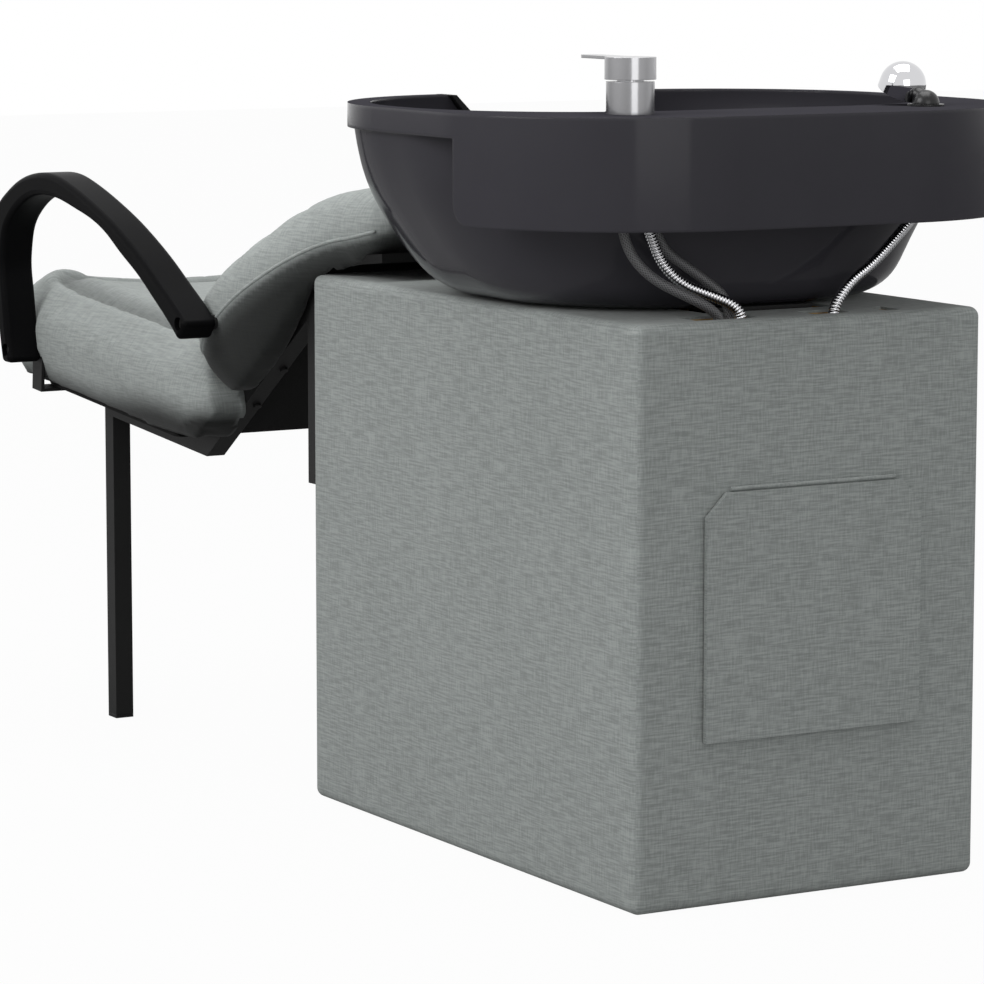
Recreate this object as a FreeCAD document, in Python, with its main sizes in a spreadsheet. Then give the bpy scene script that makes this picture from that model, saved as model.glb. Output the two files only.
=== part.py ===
import FreeCAD, Part
import math
import os
import re

import Sketcher

# Shampoo chair: upholstered cabinet, reclined seat on a tube frame, and a tilting basin with
# mixer and hand shower. Millimetres. X points to the sitter's left, Y to the rear, Z up.
# The origin is on the floor at the middle of the part.

Vector = FreeCAD.Vector
Rotation = FreeCAD.Rotation
Placement = FreeCAD.Placement
X_AXIS = Vector(1, 0, 0)
Y_AXIS = Vector(0, 1, 0)
Z_AXIS = Vector(0, 0, 1)

# Driving sizes: alias, value, meaning
SIZES = [
    ("overall_length", 1400, "rear of the basin to front of the seat"),
    ("overrun", 5, "how far a cutting tool runs past what it cuts"),
    ("soft_gap", 0.3, "room between soft pieces and their neighbours"),
    ("fit_gap", 0.05, "radial room of a pin or shaft in its hole"),
    ("cabinet_width", 397, "over the fabric"),
    ("cabinet_length", 660, "over the fabric"),
    ("cabinet_height", 565, "over the fabric, without glides"),
    ("cover_thickness", 2.5, "woven fabric with its backing foam"),
    ("cover_radius", 10, "rounded cabinet edges"),
    ("cover_hem", 25, "fabric turned in under the cabinet"),
    ("board_thickness", 16, "chipboard panels"),
    ("glide_height", 3, "plastic glide"),
    ("glide_radius", 14, "plastic glide"),
    ("glide_inset", 45, "glide centre from the cabinet corner"),
    ("flap_width", 247, "access flap over its fabric"),
    ("flap_height", 240, "access flap over its fabric"),
    ("flap_bottom", 165, "lower edge of the flap above the floor"),
    ("flap_chamfer", 23, "cut upper corners of the flap"),
    ("flap_board", 4, "thickness of the flap board"),
    ("flap_fabric", 1.5, "fabric wrapped over the flap board"),
    ("flap_overlap", 24, "flap beyond the opening behind it"),
    ("leaf_thickness", 0.8, "piano hinge leaf"),
    ("leaf_height", 17, "piano hinge leaf"),
    ("knuckle_radius", 2.2, "piano hinge barrel"),
    ("hinge_pin_radius", 1.0, "piano hinge pin"),
    ("hinge_length", 190, "piano hinge"),
    ("magnet_radius", 6, "catch magnet"),
    ("basin_overhang", 23, "basin beyond the rear of the cabinet"),
    ("basin_width", 612, "over the rim"),
    ("basin_length", 550, "over the rim"),
    ("rim_height", 762, "rim above the floor"),
    ("rim_radius", 205, "plan corners of the rim"),
    ("bowl_gap", 3, "under the bowl, above the cabinet"),
    ("wall", 8, "ceramic wall of the basin"),
    ("apron_height", 107, "rear apron below the rim"),
    ("apron_reach", 185, "apron forward from the rear of the basin"),
    ("apron_corner", 22, "rounded lower front corner of the apron"),
    ("notch_bottom_width", 150, "neck notch at its floor"),
    ("notch_top_width", 236, "neck notch at the rim"),
    ("notch_depth", 58, "neck notch below the rim"),
    ("pad_thickness", 7, "neck rest rubber"),
    ("drain_radius", 24, "drain hole in the bowl"),
    ("flange_radius", 34, "waste flange"),
    ("flange_thickness", 3, "waste flange"),
    ("tail_radius", 20, "waste tail"),
    ("tail_length", 72, "waste tail below the bowl"),
    ("waste_wall", 2.5, "wall of waste tail and strainer"),
    ("strainer_depth", 26, "hair strainer cup"),
    ("tail_nut_radius", 30, "nut on the waste tail"),
    ("tail_nut_height", 14, "nut on the waste tail"),
    ("pivot_setback", 130, "basin pivot forward from the rear of the basin"),
    ("pivot_drop", 32, "basin pivot below the cabinet top"),
    ("pivot_radius", 5, "pivot bolt"),
    ("pivot_head_radius", 9, "pivot bolt head and nut"),
    ("pivot_head_height", 6, "pivot bolt head and nut"),
    ("plate_thickness", 4, "basin mounting plate, its lugs and the bracket cheeks"),
    ("plate_width", 112, "basin mounting plate"),
    ("plate_length", 230, "basin mounting plate"),
    ("lug_length", 40, "pivot lug along the basin"),
    ("lug_below_pivot", 12, "lug and cheek below the pivot"),
    ("bracket_side_gap", 1, "between lug and bracket cheek"),
    ("bracket_length", 62, "tilt bracket along the basin"),
    ("bracket_flange", 34, "tilt bracket flange under the top panel"),
    ("opening_width", 150, "cabinet top opening under the basin"),
    ("opening_length", 272, "cabinet top opening under the basin"),
    ("opening_behind_pivot", 30, "cabinet top opening behind the pivot"),
    ("buffer_radius", 16, "rest buffer under the bowl"),
    ("buffer_spread", 95, "rest buffer from the middle"),
    ("buffer_reach", 105, "rest buffer behind the front of the basin"),
    ("fitting_spread", 170, "mixer and hand shower from the middle"),
    ("fitting_inset", 83, "mixer and hand shower forward of the rear of the basin"),
    ("mixer_radius", 23, "mixer body"),
    ("mixer_height", 31, "mixer body above the deck"),
    ("shank_radius", 16, "threaded shank through the deck"),
    ("shank_length", 40, "threaded shank below the top of the deck"),
    ("deck_hole_gap", 1, "radial room of a shank in the deck"),
    ("shank_nut_radius", 21, "nut under the deck"),
    ("shank_nut_height", 9, "nut under the deck"),
    ("cartridge_radius", 13, "cartridge in the mixer body"),
    ("cartridge_height", 9, "cartridge above the mixer body"),
    ("cap_radius", 24.5, "mixer cap"),
    ("cap_height", 21, "mixer cap"),
    ("cap_wall", 2, "mixer cap skirt and top"),
    ("cap_gap", 2, "between mixer body and cap"),
    ("cartridge_depth", 28, "cartridge below the top of the mixer body"),
    ("stem_radius", 4, "stem of the lever inside the cartridge"),
    ("stem_pin_radius", 1.6, "pin that the stem tilts on"),
    ("stem_pin_depth", 13, "stem pin below the top of the mixer body"),
    ("lever_lift", 20, "degrees, lift of the lever"),
    ("lever_length", 80, "flat lever from the mixer axis"),
    ("lever_width", 22, "flat lever"),
    ("lever_thickness", 3, "flat lever"),
    ("holder_radius", 15, "hand shower holder sleeve"),
    ("holder_bore", 11.5, "hand shower holder sleeve"),
    ("holder_flange_radius", 18, "holder flange on the deck"),
    ("holder_flange_height", 2, "holder flange on the deck"),
    ("holder_length", 70, "holder sleeve below the deck"),
    ("handle_radius", 11, "hand shower handle"),
    ("handle_length", 44, "hand shower handle below the deck"),
    ("handle_dome_radius", 13.5, "black dome on the handle"),
    ("head_radius", 23, "hand shower head"),
    ("head_reach", 31, "hand shower head forward of its handle"),
    ("head_inward", 6, "hand shower head towards the middle"),
    ("head_height", 20, "hand shower head centre above the deck"),
    ("head_skirt", 8, "head below its dome"),
    ("head_lean", 26, "degrees, spray face from straight down"),
    ("spray_thickness", 3, "spray plate"),
    ("spray_radius", 20, "spray plate"),
    ("hose_end_length", 22, "rigid end of the shower hose on the handle"),
    ("hose_end_radius", 5.5, "rigid end of the shower hose on the handle"),
    ("shower_hose_radius", 5.5, "ribbed shower hose over its ribs"),
    ("shower_hose_groove", 0.8, "depth of the grooves between ribs"),
    ("shower_hose_bore", 3.2, "inner radius"),
    ("rib_pitch", 3.2, "shower hose ribs"),
    ("supply_hose_radius", 5, "braided supply hose"),
    ("waste_hose_radius", 18, "waste hose"),
    ("hose_ring", 8.5, "hoses from the middle of the mixer shank"),
    ("hose_slot_width", 72, "slot in the cabinet top for the mixer hoses"),
    ("hose_slot_middle", 86, "middle of that slot from the middle plane"),
    ("hose_slot_length", 34, "slots in the cabinet top along the cabinet"),
    ("hose_slot_inset", 34, "middle of the slots from the cabinet rear"),
    ("shower_slot_width", 44, "slot for the shower hose"),
    ("shower_slot_middle", 34, "middle of that slot, left of the middle plane"),
    ("spare_slot_width", 18, "small spare slot"),
    ("spare_slot_middle", 104, "small spare slot, left of the middle plane"),
    ("tube", 22, "square steel tube"),
    ("tube_wall", 1.5, "square steel tube"),
    ("frame_half_width", 188, "outer faces of the side frames"),
    ("rail_front_height", 362, "underside of the seat rail at the legs"),
    ("rail_drop", 21, "how much lower the rail is at its rear end"),
    ("rail_length", 272, "seat rail from leg front to the bend"),
    ("leg_front", 533, "front of the legs ahead of the middle"),
    ("back_pitch", 35.2, "degrees, back tube from level"),
    ("post_gap", 7, "spacer between wall post and cabinet"),
    ("post_bottom", 340, "lower end of the wall post"),
    ("foot_cap", 4, "plastic foot under the leg"),
    ("bolt_radius", 4, "post bolts"),
    ("bolt_head_radius", 7, "post bolt heads"),
    ("bolt_head_height", 5, "post bolt heads"),
    ("bolt_inset", 30, "lower post bolt from the end of the post"),
    ("bolt_rise", 150, "upper post bolt above the bend"),
    ("bolt_reach", 16, "post bolt into the cabinet"),
    ("seat_half_width", 238, "seat cushion at its fullest"),
    ("seat_thickness", 113, "seat cushion above its board"),
    ("seat_corner", 85, "rounded front corners of the seat"),
    ("seat_board_thickness", 10, "plywood under the seat"),
    ("seat_board_inset", 20, "seat board inside the cushion"),
    ("under_cover_thickness", 1.5, "black cloth under the seat and behind the back"),
    ("back_half_width", 226, "back cushion at its seam"),
    ("back_start", 68, "lower end of the back cushion up its tube from the bend"),
    ("back_thickness", 86, "back cushion above its board"),
    ("back_board_half", 181, "half width of the plywood and the cloth behind the back"),
    ("back_board_thickness", 8, "plywood in the back"),
    ("back_knee", 18, "back board bends this far behind the cabinet front"),
    ("back_top_rise", 20, "underside of the back above the cabinet top at its upper end"),
    ("back_top_gap", 6, "upper end of the back ahead of the basin rim"),
    ("arm_inner", 243, "inner face of the armrest"),
    ("arm_width", 42, "armrest across"),
    ("arm_length", 516, "armrest loop"),
    ("arm_height", 230, "armrest loop"),
    ("arm_front", 632, "front of the armrest ahead of the middle"),
    ("arm_low", 421, "lower end of the armrest above the floor"),
    ("arm_edge", 6, "rounded edges of the armrest"),
    ("arm_screw_radius", 4, "armrest screws"),
    ("arm_screw_head", 6.5, "armrest screw head"),
    ("arm_head_sink", 5, "screw head below the face of the armrest"),
    ("arm_head_height", 5, "armrest screw head"),
    ("arm_plate", 4, "steel plates that carry the armrest"),
    ("arm_plate_width", 26, "steel plates that carry the armrest"),
    ("arm_strap_length", 90, "front armrest plate inwards under the seat"),
    ("arm_spacer_radius", 8, "spacer between the rear plate and the armrest"),
    ("arm_screw_front_reach", 36, "front armrest screw from the inside of its head"),
    ("arm_screw_rear_reach", 60, "rear armrest screw from the inside of its head"),
    ("board_screw_radius", 2.5, "screws through the rails into the boards"),
    ("board_screw_head", 4.5, "screw heads under the rails"),
    ("board_screw_head_height", 3, "screw heads under the rails"),
    ("board_screw_inset", 40, "board screws from the ends of the rail"),
    ("clip_width", 12, "hose clip on the back panel"),
    ("clip_wall", 2, "hose clip"),
    ("nut_radius", 11, "supply hose nuts"),
    ("nut_length", 18, "supply hose nuts"),
    ("nut_bore", 7.5, "thread bore of the nuts"),
    ("nut_bore_depth", 10, "thread bore of the nuts"),
    ("nut_height", 110, "lower end of the supply hoses above the floor"),
    ("supply_cut_width", 54, "cut-out in the cabinet base under the supply nuts"),
    ("supply_cut_length", 28, "cut-out in the cabinet base under the supply nuts"),
    ("outlet_radius", 25, "waste outlet coupling"),
    ("outlet_bore", 20, "bore for the drain pipe"),
    ("outlet_length", 46, "waste outlet coupling"),
    ("outlet_bore_depth", 30, "bore for the drain pipe"),
    ("outlet_distance", 170, "waste outlet ahead of the rear of the cabinet"),
]

# Derived sizes: alias, formula of driving sizes and earlier derived sizes
PLACES = [
    ("basin_rear", "overall_length / 2"),
    ("seat_front", "-overall_length / 2"),
    ("basin_front", "basin_rear - basin_length"),
    ("cabinet_rear", "basin_rear - basin_overhang"),
    ("cabinet_front", "cabinet_rear - cabinet_length"),
    ("cabinet_top", "glide_height + cabinet_height"),
    ("carcass_half", "cabinet_width / 2 - cover_thickness"),
    ("carcass_rear", "cabinet_rear - cover_thickness"),
    ("carcass_front", "cabinet_front + cover_thickness"),
    ("carcass_top", "cabinet_top - cover_thickness"),
    ("carcass_low", "glide_height + cover_thickness"),
    ("inner_half", "carcass_half - board_thickness"),
    ("inner_rear", "carcass_rear - board_thickness"),
    ("inner_front", "carcass_front + board_thickness"),
    ("inner_top", "carcass_top - board_thickness"),
    ("inner_low", "carcass_low + board_thickness"),
    ("bowl_low", "cabinet_top + bowl_gap"),
    ("bowl_depth", "rim_height - bowl_low"),
    ("apron_front", "basin_rear - apron_reach"),
    ("apron_low", "rim_height - apron_height"),
    ("deck_low", "rim_height - wall"),
    ("pivot_y", "basin_rear - pivot_setback"),
    ("pivot_z", "cabinet_top - pivot_drop"),
    ("opening_rear", "pivot_y + opening_behind_pivot"),
    ("opening_front", "opening_rear - opening_length"),
    ("plate_rear", "pivot_y + lug_length / 2"),
    ("drain_y", "plate_rear - plate_length + 2 * flange_radius"),
    ("slot_front", "cabinet_rear - hose_slot_inset - hose_slot_length / 2"),
    ("fitting_y", "basin_rear - fitting_inset"),
    ("flap_hinge_y", "cabinet_rear + knuckle_radius"),
    ("flap_top", "flap_bottom + flap_height"),
    ("flap_hinge_z", "flap_top + knuckle_radius + flap_fabric / 2"),
    ("flap_back", "cabinet_rear + 2 * leaf_thickness + soft_gap"),
    ("flap_front", "flap_back + flap_board + flap_fabric"),
    ("cap_low", "rim_height + mixer_height + cap_gap"),
    ("cap_top", "cap_low + cap_height"),
    ("body_top", "rim_height + mixer_height"),
    ("stem_pin_z", "body_top - stem_pin_depth"),
    ("hose_start_z", "rim_height - handle_length - hose_end_length"),
    ("frame_inner", "frame_half_width - tube"),
    ("post_rear", "cabinet_front - post_gap"),
    ("post_front", "post_rear - tube"),
    ("post_upper_bolt", "rail_front_height - rail_drop + bolt_rise"),
    ("outlet_y", "cabinet_rear - outlet_distance"),
]


def filled_sheet(document, name):
    """A spreadsheet of aliased driving sizes, each cell a plain number."""
    table = document.addObject("Spreadsheet::Sheet", name)
    for row, (alias, amount, meaning) in enumerate(SIZES, start=1):
        table.set(f"A{row}", meaning)
        table.set(f"B{row}", str(amount))
        table.setAlias(f"B{row}", alias)
    return table


DRIVING_NAMES = {alias for alias, _, _ in SIZES}
DERIVED_NAMES = {alias for alias, _ in PLACES}


def sheet_formula(formula):
    """The formula with each size named in full, such as Sizes.wall."""
    def full_name(found):
        word = found.group(0)
        if word in DRIVING_NAMES:
            return "Sizes." + word
        return "Places." + word if word in DERIVED_NAMES else word
    return re.sub(r"[a-z_]+", full_name, formula)


doc = FreeCAD.newDocument("ShampooChair")
sizes = filled_sheet(doc, "Sizes")
places = doc.addObject("Spreadsheet::Sheet", "Places")
for place_row, (place_alias, place_formula) in enumerate(PLACES, start=1):
    places.set(f"A{place_row}", place_alias)
    places.set(f"B{place_row}", "=" + sheet_formula(place_formula))
    places.setAlias(f"B{place_row}", place_alias)
doc.recompute()


class Dimension:
    """Reads a driving or derived size by its name, such as D.wall."""

    def __getattr__(self, alias):
        return float((sizes if alias in DRIVING_NAMES else places).get(alias))


D = Dimension()
PARTS = []


def bind(item, **formulas):
    """Ties properties of an object to the sheets; x, y and z stand for its place."""
    spots = {"x": ".Placement.Base.x", "y": ".Placement.Base.y", "z": ".Placement.Base.z"}
    for target, formula in formulas.items():
        item.setExpression(spots.get(target, target), sheet_formula(formula))
    return item


def keep(item, label):
    """Names an object as a sub-part that is written to its own file."""
    item.Label = label
    PARTS.append(item)
    return item


def block(name, low, span):
    """A box from its low corner and its spans, each three formulas."""
    item = doc.addObject("Part::Box", name)
    return bind(item, x=low[0], y=low[1], z=low[2], Length=span[0], Width=span[1], Height=span[2])


def rod(name, base, radius, height, axis=Z_AXIS):
    """A cylinder from the middle of its base along an axis."""
    item = doc.addObject("Part::Cylinder", name)
    item.Placement = Placement(Vector(), Rotation(Z_AXIS, axis))
    return bind(item, x=base[0], y=base[1], z=base[2], Radius=radius, Height=height)


def cut(name, base, tool):
    """A boolean difference of two objects."""
    item = doc.addObject("Part::Cut", name)
    item.Base = base
    item.Tool = tool
    return item


def common(name, base, tool):
    """The space that two objects share."""
    item = doc.addObject("Part::Common", name)
    item.Base = base
    item.Tool = tool
    return item


def fuse(name, shapes):
    """Several objects joined to one."""
    item = doc.addObject("Part::MultiFuse", name)
    item.Shapes = shapes
    return item


def group(name, shapes):
    """Separate solids that share one node."""
    item = doc.addObject("Part::Compound", name)
    item.Links = shapes
    return item


def formed(name, shape, label=None):
    """A freely formed shape as an object of the document."""
    item = doc.addObject("Part::Feature", name)
    item.Shape = shape
    return keep(item, label) if label else item


def body_plane(body, role):
    """One of the origin planes of a body, such as XY_Plane."""
    return next(feature for feature in body.Origin.OriginFeatures if feature.Role == role)


def rounded_box(name, low, span, radius):
    """A body with one box whose edges are all rounded."""
    body = doc.addObject("PartDesign::Body", name)
    core = body.newObject("PartDesign::AdditiveBox", name + "Core")
    bind(core, Length=span[0], Width=span[1], Height=span[2])
    doc.recompute()
    soft = body.newObject("PartDesign::Fillet", name + "Edges")
    soft.Base = (core, [""])
    soft.UseAllEdges = True
    bind(soft, Radius=radius)
    body.Tip = soft
    return bind(body, x=low[0], y=low[1], z=low[2])


def plan_wire(half_width, front, rear, corner, height, rear_corner=None):
    """A level rounded rectangle about the middle plane, from lines and quarter arcs."""
    far = corner if rear_corner is None else rear_corner
    turn, far_turn = (size * (1 - math.sqrt(0.5)) for size in (corner, far))
    right, left = half_width, -half_width
    corners = [
        ((right - corner, front), (right - turn, front + turn), (right, front + corner)),
        ((right, rear - far), (right - far_turn, rear - far_turn), (right - far, rear)),
        ((left + far, rear), (left + far_turn, rear - far_turn), (left, rear - far)),
        ((left, front + corner), (left + turn, front + turn), (left + corner, front)),
    ]
    edges = []
    for place, (start, middle, end) in enumerate(corners):
        points = [Vector(x, y, height) for x, y in (start, middle, end)]
        edges.append(Part.Arc(*points).toShape())
        following = corners[(place + 1) % len(corners)][0]
        edges.append(Part.makeLine(points[-1], Vector(following[0], following[1], height)))
    return Part.Wire(edges)


def prism(wire, direction):
    """A closed wire pushed along a direction."""
    return Part.Face(wire).extrude(direction)


def turned(outline, centre, axis):
    """A solid of revolution: outline holds (radius, height) along the axis from the centre."""
    points = [Vector(radius, 0, height) for radius, height in outline]
    face = Part.Face(Part.makePolygon(points + points[:1]))
    solid = face.revolve(Vector(), Z_AXIS, 360)
    solid.Placement = Placement(centre, Rotation(Z_AXIS, axis))
    return solid


def rounded_route(points):
    """Straight runs joined by tangent arcs, each arc as large as its runs allow."""
    arc_share = 0.45
    edges = []
    radii = []
    start = points[0]
    for before, corner, after in zip(points, points[1:], points[2:]):
        inward, outward = before - corner, after - corner
        turn = math.pi - inward.getAngle(outward)
        reach = arc_share * min(inward.Length, outward.Length)
        radius = reach / math.tan(turn / 2)
        inward.normalize()
        outward.normalize()
        enter, leave = corner + inward * reach, corner + outward * reach
        bisector = (inward + outward).normalize()
        middle = corner + bisector * (radius / math.cos(turn / 2) - radius)
        edges += [Part.makeLine(start, enter), Part.Arc(enter, middle, leave).toShape()]
        radii.append(round(radius, 1))
        start = leave
    edges.append(Part.makeLine(start, points[-1]))
    return Part.Wire(edges), radii


def hose(label, points, radius):
    """A plain hose swept along its route, with its volume compared to section times length."""
    route, radii = rounded_route(points)
    direction = (points[1] - points[0]).normalize()
    section = Part.Wire([Part.makeCircle(radius, points[0], direction)])
    solid = route.makePipeShell([section], True, False)
    expected = math.pi * radius ** 2 * route.Length
    print(label, "radii", radii, "length", round(route.Length, 1),
          "volume ratio", round(solid.Volume / expected, 4))
    return solid


def outlined_pad(name, corners, depth):
    """A body padded from a sketched outline; corners are pairs of formulas from its low corner."""
    body = doc.addObject("PartDesign::Body", name)
    sketch = body.newObject("Sketcher::SketchObject", name + "Outline")
    sketch.AttachmentSupport = [(body_plane(body, "XY_Plane"), "")]
    sketch.MapMode = "FlatFace"
    values = [(sheet_value(x), sheet_value(y)) for x, y in corners]
    count = len(values)
    for place, (x, y) in enumerate(values):
        following = values[(place + 1) % count]
        sketch.addGeometry(Part.LineSegment(Vector(x, y, 0), Vector(*following, 0)))
    for place in range(count):
        sketch.addConstraint(Sketcher.Constraint("Coincident", place, 2, (place + 1) % count, 1))
    for place, formulas in enumerate(corners):
        for way, formula, amount in zip("XY", formulas, values[place]):
            if amount == 0:
                sketch.addConstraint(Sketcher.Constraint("PointOnObject", place, 1, -2 if way == "X" else -1))
                continue
            sketch.addConstraint(Sketcher.Constraint("Distance" + way, -1, 1, place, 1, amount))
            sketch.renameConstraint(sketch.ConstraintCount - 1, f"place{way}{place}")
            sketch.setExpression(f"Constraints.place{way}{place}", sheet_formula(formula))
    doc.recompute()
    pad = body.newObject("PartDesign::Pad", name + "Pad")
    pad.Profile = sketch
    bind(pad, Length=depth)
    body.Tip = pad
    return body


def sheet_value(formula):
    """The number that a formula of sizes gives now."""
    cell = "C1"
    places.set(cell, "=" + sheet_formula(formula))
    doc.recompute()
    amount = float(places.get(cell))
    places.clear(cell)
    return amount


# Cabinet


def cabinet_core():
    """The space inside the fabric, with rounded edges."""
    low = ("-carcass_half", "carcass_front", "carcass_low")
    span = ("2 * carcass_half", "carcass_rear - carcass_front", "carcass_top - carcass_low")
    return rounded_box("CabinetCore", low, span, "cover_radius - cover_thickness")


def panel(label, low, span, core, tools=()):
    """A chipboard panel rounded with the cabinet, less its openings."""
    name = label.title().replace("_", "")
    solid = common(name, block(name + "Blank", low, span), core)
    if tools:
        solid = cut(name + "Open", solid, fuse(name + "Tools", list(tools)) if len(tools) > 1 else tools[0])
    return keep(solid, label)


def top_openings(prefix, low, height):
    """The openings through the cabinet top: basin, mixer hoses, shower hose and a spare one."""
    rows = [
        ("Basin", "0", "opening_width", "opening_front", "opening_length"),
        ("Mixer", "hose_slot_middle", "hose_slot_width", "slot_front", "hose_slot_length"),
        ("Shower", "-shower_slot_middle", "shower_slot_width", "slot_front", "hose_slot_length"),
        ("Spare", "-spare_slot_middle", "spare_slot_width", "slot_front", "hose_slot_length"),
    ]
    return [block(prefix + title, (f"{middle} - {width} / 2", front, low), (width, length, height))
            for title, middle, width, front, length in rows]


def flap_opening(prefix, front, depth):
    """The access opening behind the flap."""
    low = ("flap_overlap - flap_width / 2", front, "flap_bottom + flap_overlap")
    span = ("flap_width - 2 * flap_overlap", depth, "flap_height - 2 * flap_overlap")
    return block(prefix, low, span)


def post_bolt_rods(prefix, start, length, radius):
    """Rods on the four post bolt axes, along Y."""
    rods = []
    for side in ("-", ""):
        for end in ("post_bottom + bolt_inset", "post_upper_bolt"):
            base = (f"{side}(frame_half_width - tube / 2)", start, end)
            rods.append(rod(f"{prefix}{len(rods)}", base, radius, length, Y_AXIS))
    return rods


def make_cabinet():
    """Chipboard carcass, its woven cover, glides, and the waste outlet hole."""
    core = cabinet_core()
    wide, deep = "2 * carcass_half", "carcass_rear - carcass_front"
    inner_deep, tall = "inner_rear - inner_front", "inner_top - carcass_low"
    outlet_hole = rod("OutletHole", ("0", "outlet_y", "carcass_low - overrun"),
                      "outlet_radius + fit_gap", "board_thickness + 2 * overrun")
    bolt_holes = post_bolt_rods("PanelBoltHole", "cabinet_front", "bolt_reach", "bolt_radius + fit_gap")
    nut_middle = f"{sum(NUT_SHARES) / len(NUT_SHARES):.4f} * inner_half"
    supply_cut = block("SupplyCut", (f"{nut_middle} - supply_cut_width / 2",
                                     "carcass_rear - cover_hem - supply_cut_length", "carcass_low - overrun"),
                       ("supply_cut_width", "supply_cut_length", "board_thickness + 2 * overrun"))
    panel("cabinet_base_panel", ("-inner_half", "inner_front", "carcass_low"),
          ("2 * inner_half", inner_deep, "board_thickness"), core, [outlet_hole, supply_cut])
    panel("cabinet_side_left", ("inner_half", "inner_front", "carcass_low"),
          ("board_thickness", inner_deep, tall), core)
    panel("cabinet_side_right", ("-carcass_half", "inner_front", "carcass_low"),
          ("board_thickness", inner_deep, tall), core)
    panel("cabinet_front_panel", ("-carcass_half", "carcass_front", "carcass_low"),
          (wide, "board_thickness", tall), core, bolt_holes)
    panel("cabinet_back_panel", ("-carcass_half", "inner_rear", "carcass_low"),
          (wide, "board_thickness", tall), core,
          [flap_opening("PanelFlapOpening", "inner_rear - overrun", "board_thickness + 2 * overrun")])
    panel("cabinet_top_panel", ("-carcass_half", "carcass_front", "inner_top"),
          (wide, deep, "board_thickness"), core,
          top_openings("Panel", "inner_top - overrun", "board_thickness + 2 * overrun"))
    outer = rounded_box("CoverOuter", ("-cabinet_width / 2", "cabinet_front", "glide_height"),
                        ("cabinet_width", "cabinet_length", "cabinet_height"), "cover_radius")
    bottom = block("CoverBottom", ("cover_hem - carcass_half", "carcass_front + cover_hem", "0"),
                   ("2 * (carcass_half - cover_hem)", "carcass_rear - carcass_front - 2 * cover_hem",
                    "carcass_low + overrun"))
    tools = [core, bottom, flap_opening("CoverFlapOpening", "inner_rear", "board_thickness + overrun")]
    tools += top_openings("Cover", "inner_top", "board_thickness + overrun")
    tools += post_bolt_rods("CoverBoltHole", "post_rear", "bolt_reach", "bolt_radius + fit_gap")
    keep(cut("CabinetCover", outer, fuse("CoverTools", tools)), "cabinet_cover")
    glides = []
    for x in ("cabinet_width / 2 - glide_inset", "glide_inset - cabinet_width / 2"):
        for y in ("cabinet_front + glide_inset", "cabinet_rear - glide_inset"):
            glides.append(rod(f"Glide{len(glides)}", (x, y, "0"), "glide_radius", "carcass_low"))
    keep(group("Glides", glides), "cabinet_glides")


def flap_corners(inset):
    """The flap outline, inset on every side, from its own low corner."""
    low, wide, tall = inset, f"(flap_width - {inset})", f"(flap_height - {inset})"
    return [
        (low, low), (wide, low), (wide, f"flap_height - flap_chamfer"),
        ("flap_width - flap_chamfer", tall), ("flap_chamfer", tall), (low, "flap_height - flap_chamfer"),
    ]


def stand_up(item, x, y, z):
    """Turns a flat body so that it stands across Y and grows forward from y."""
    item.Placement = Placement(Vector(), Rotation(X_AXIS, 90))
    return bind(item, x=x, y=y, z=z)


def make_flap():
    """Access flap: board, fabric over it, piano hinge along its top edge, and catch magnets."""
    board = outlined_pad("FlapBoard", flap_corners("flap_fabric"), "flap_board")
    keep(stand_up(board, "-flap_width / 2", "flap_back + flap_board", "flap_bottom"), "access_flap_board")
    blank = outlined_pad("FlapFabricBlank", flap_corners("0 * flap_fabric"), "flap_board + flap_fabric")
    stand_up(blank, "-flap_width / 2", "flap_front", "flap_bottom")
    hollow = outlined_pad("FlapFabricHollow", flap_corners("flap_fabric"), "flap_board + overrun")
    stand_up(hollow, "-flap_width / 2", "flap_back + flap_board", "flap_bottom")
    keep(cut("FlapFabric", blank, hollow), "access_flap_fabric")
    spots = [(side + "(flap_width - flap_overlap) / 2") for side in ("-", "")]
    magnets = [rod(f"Magnet{place}", (x, "cabinet_rear", "flap_bottom + flap_overlap / 2"),
                   "magnet_radius", "flap_back - cabinet_rear", Y_AXIS) for place, x in enumerate(spots)]
    keep(group("Magnets", magnets), "flap_magnets")
    make_flap_hinge()


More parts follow.
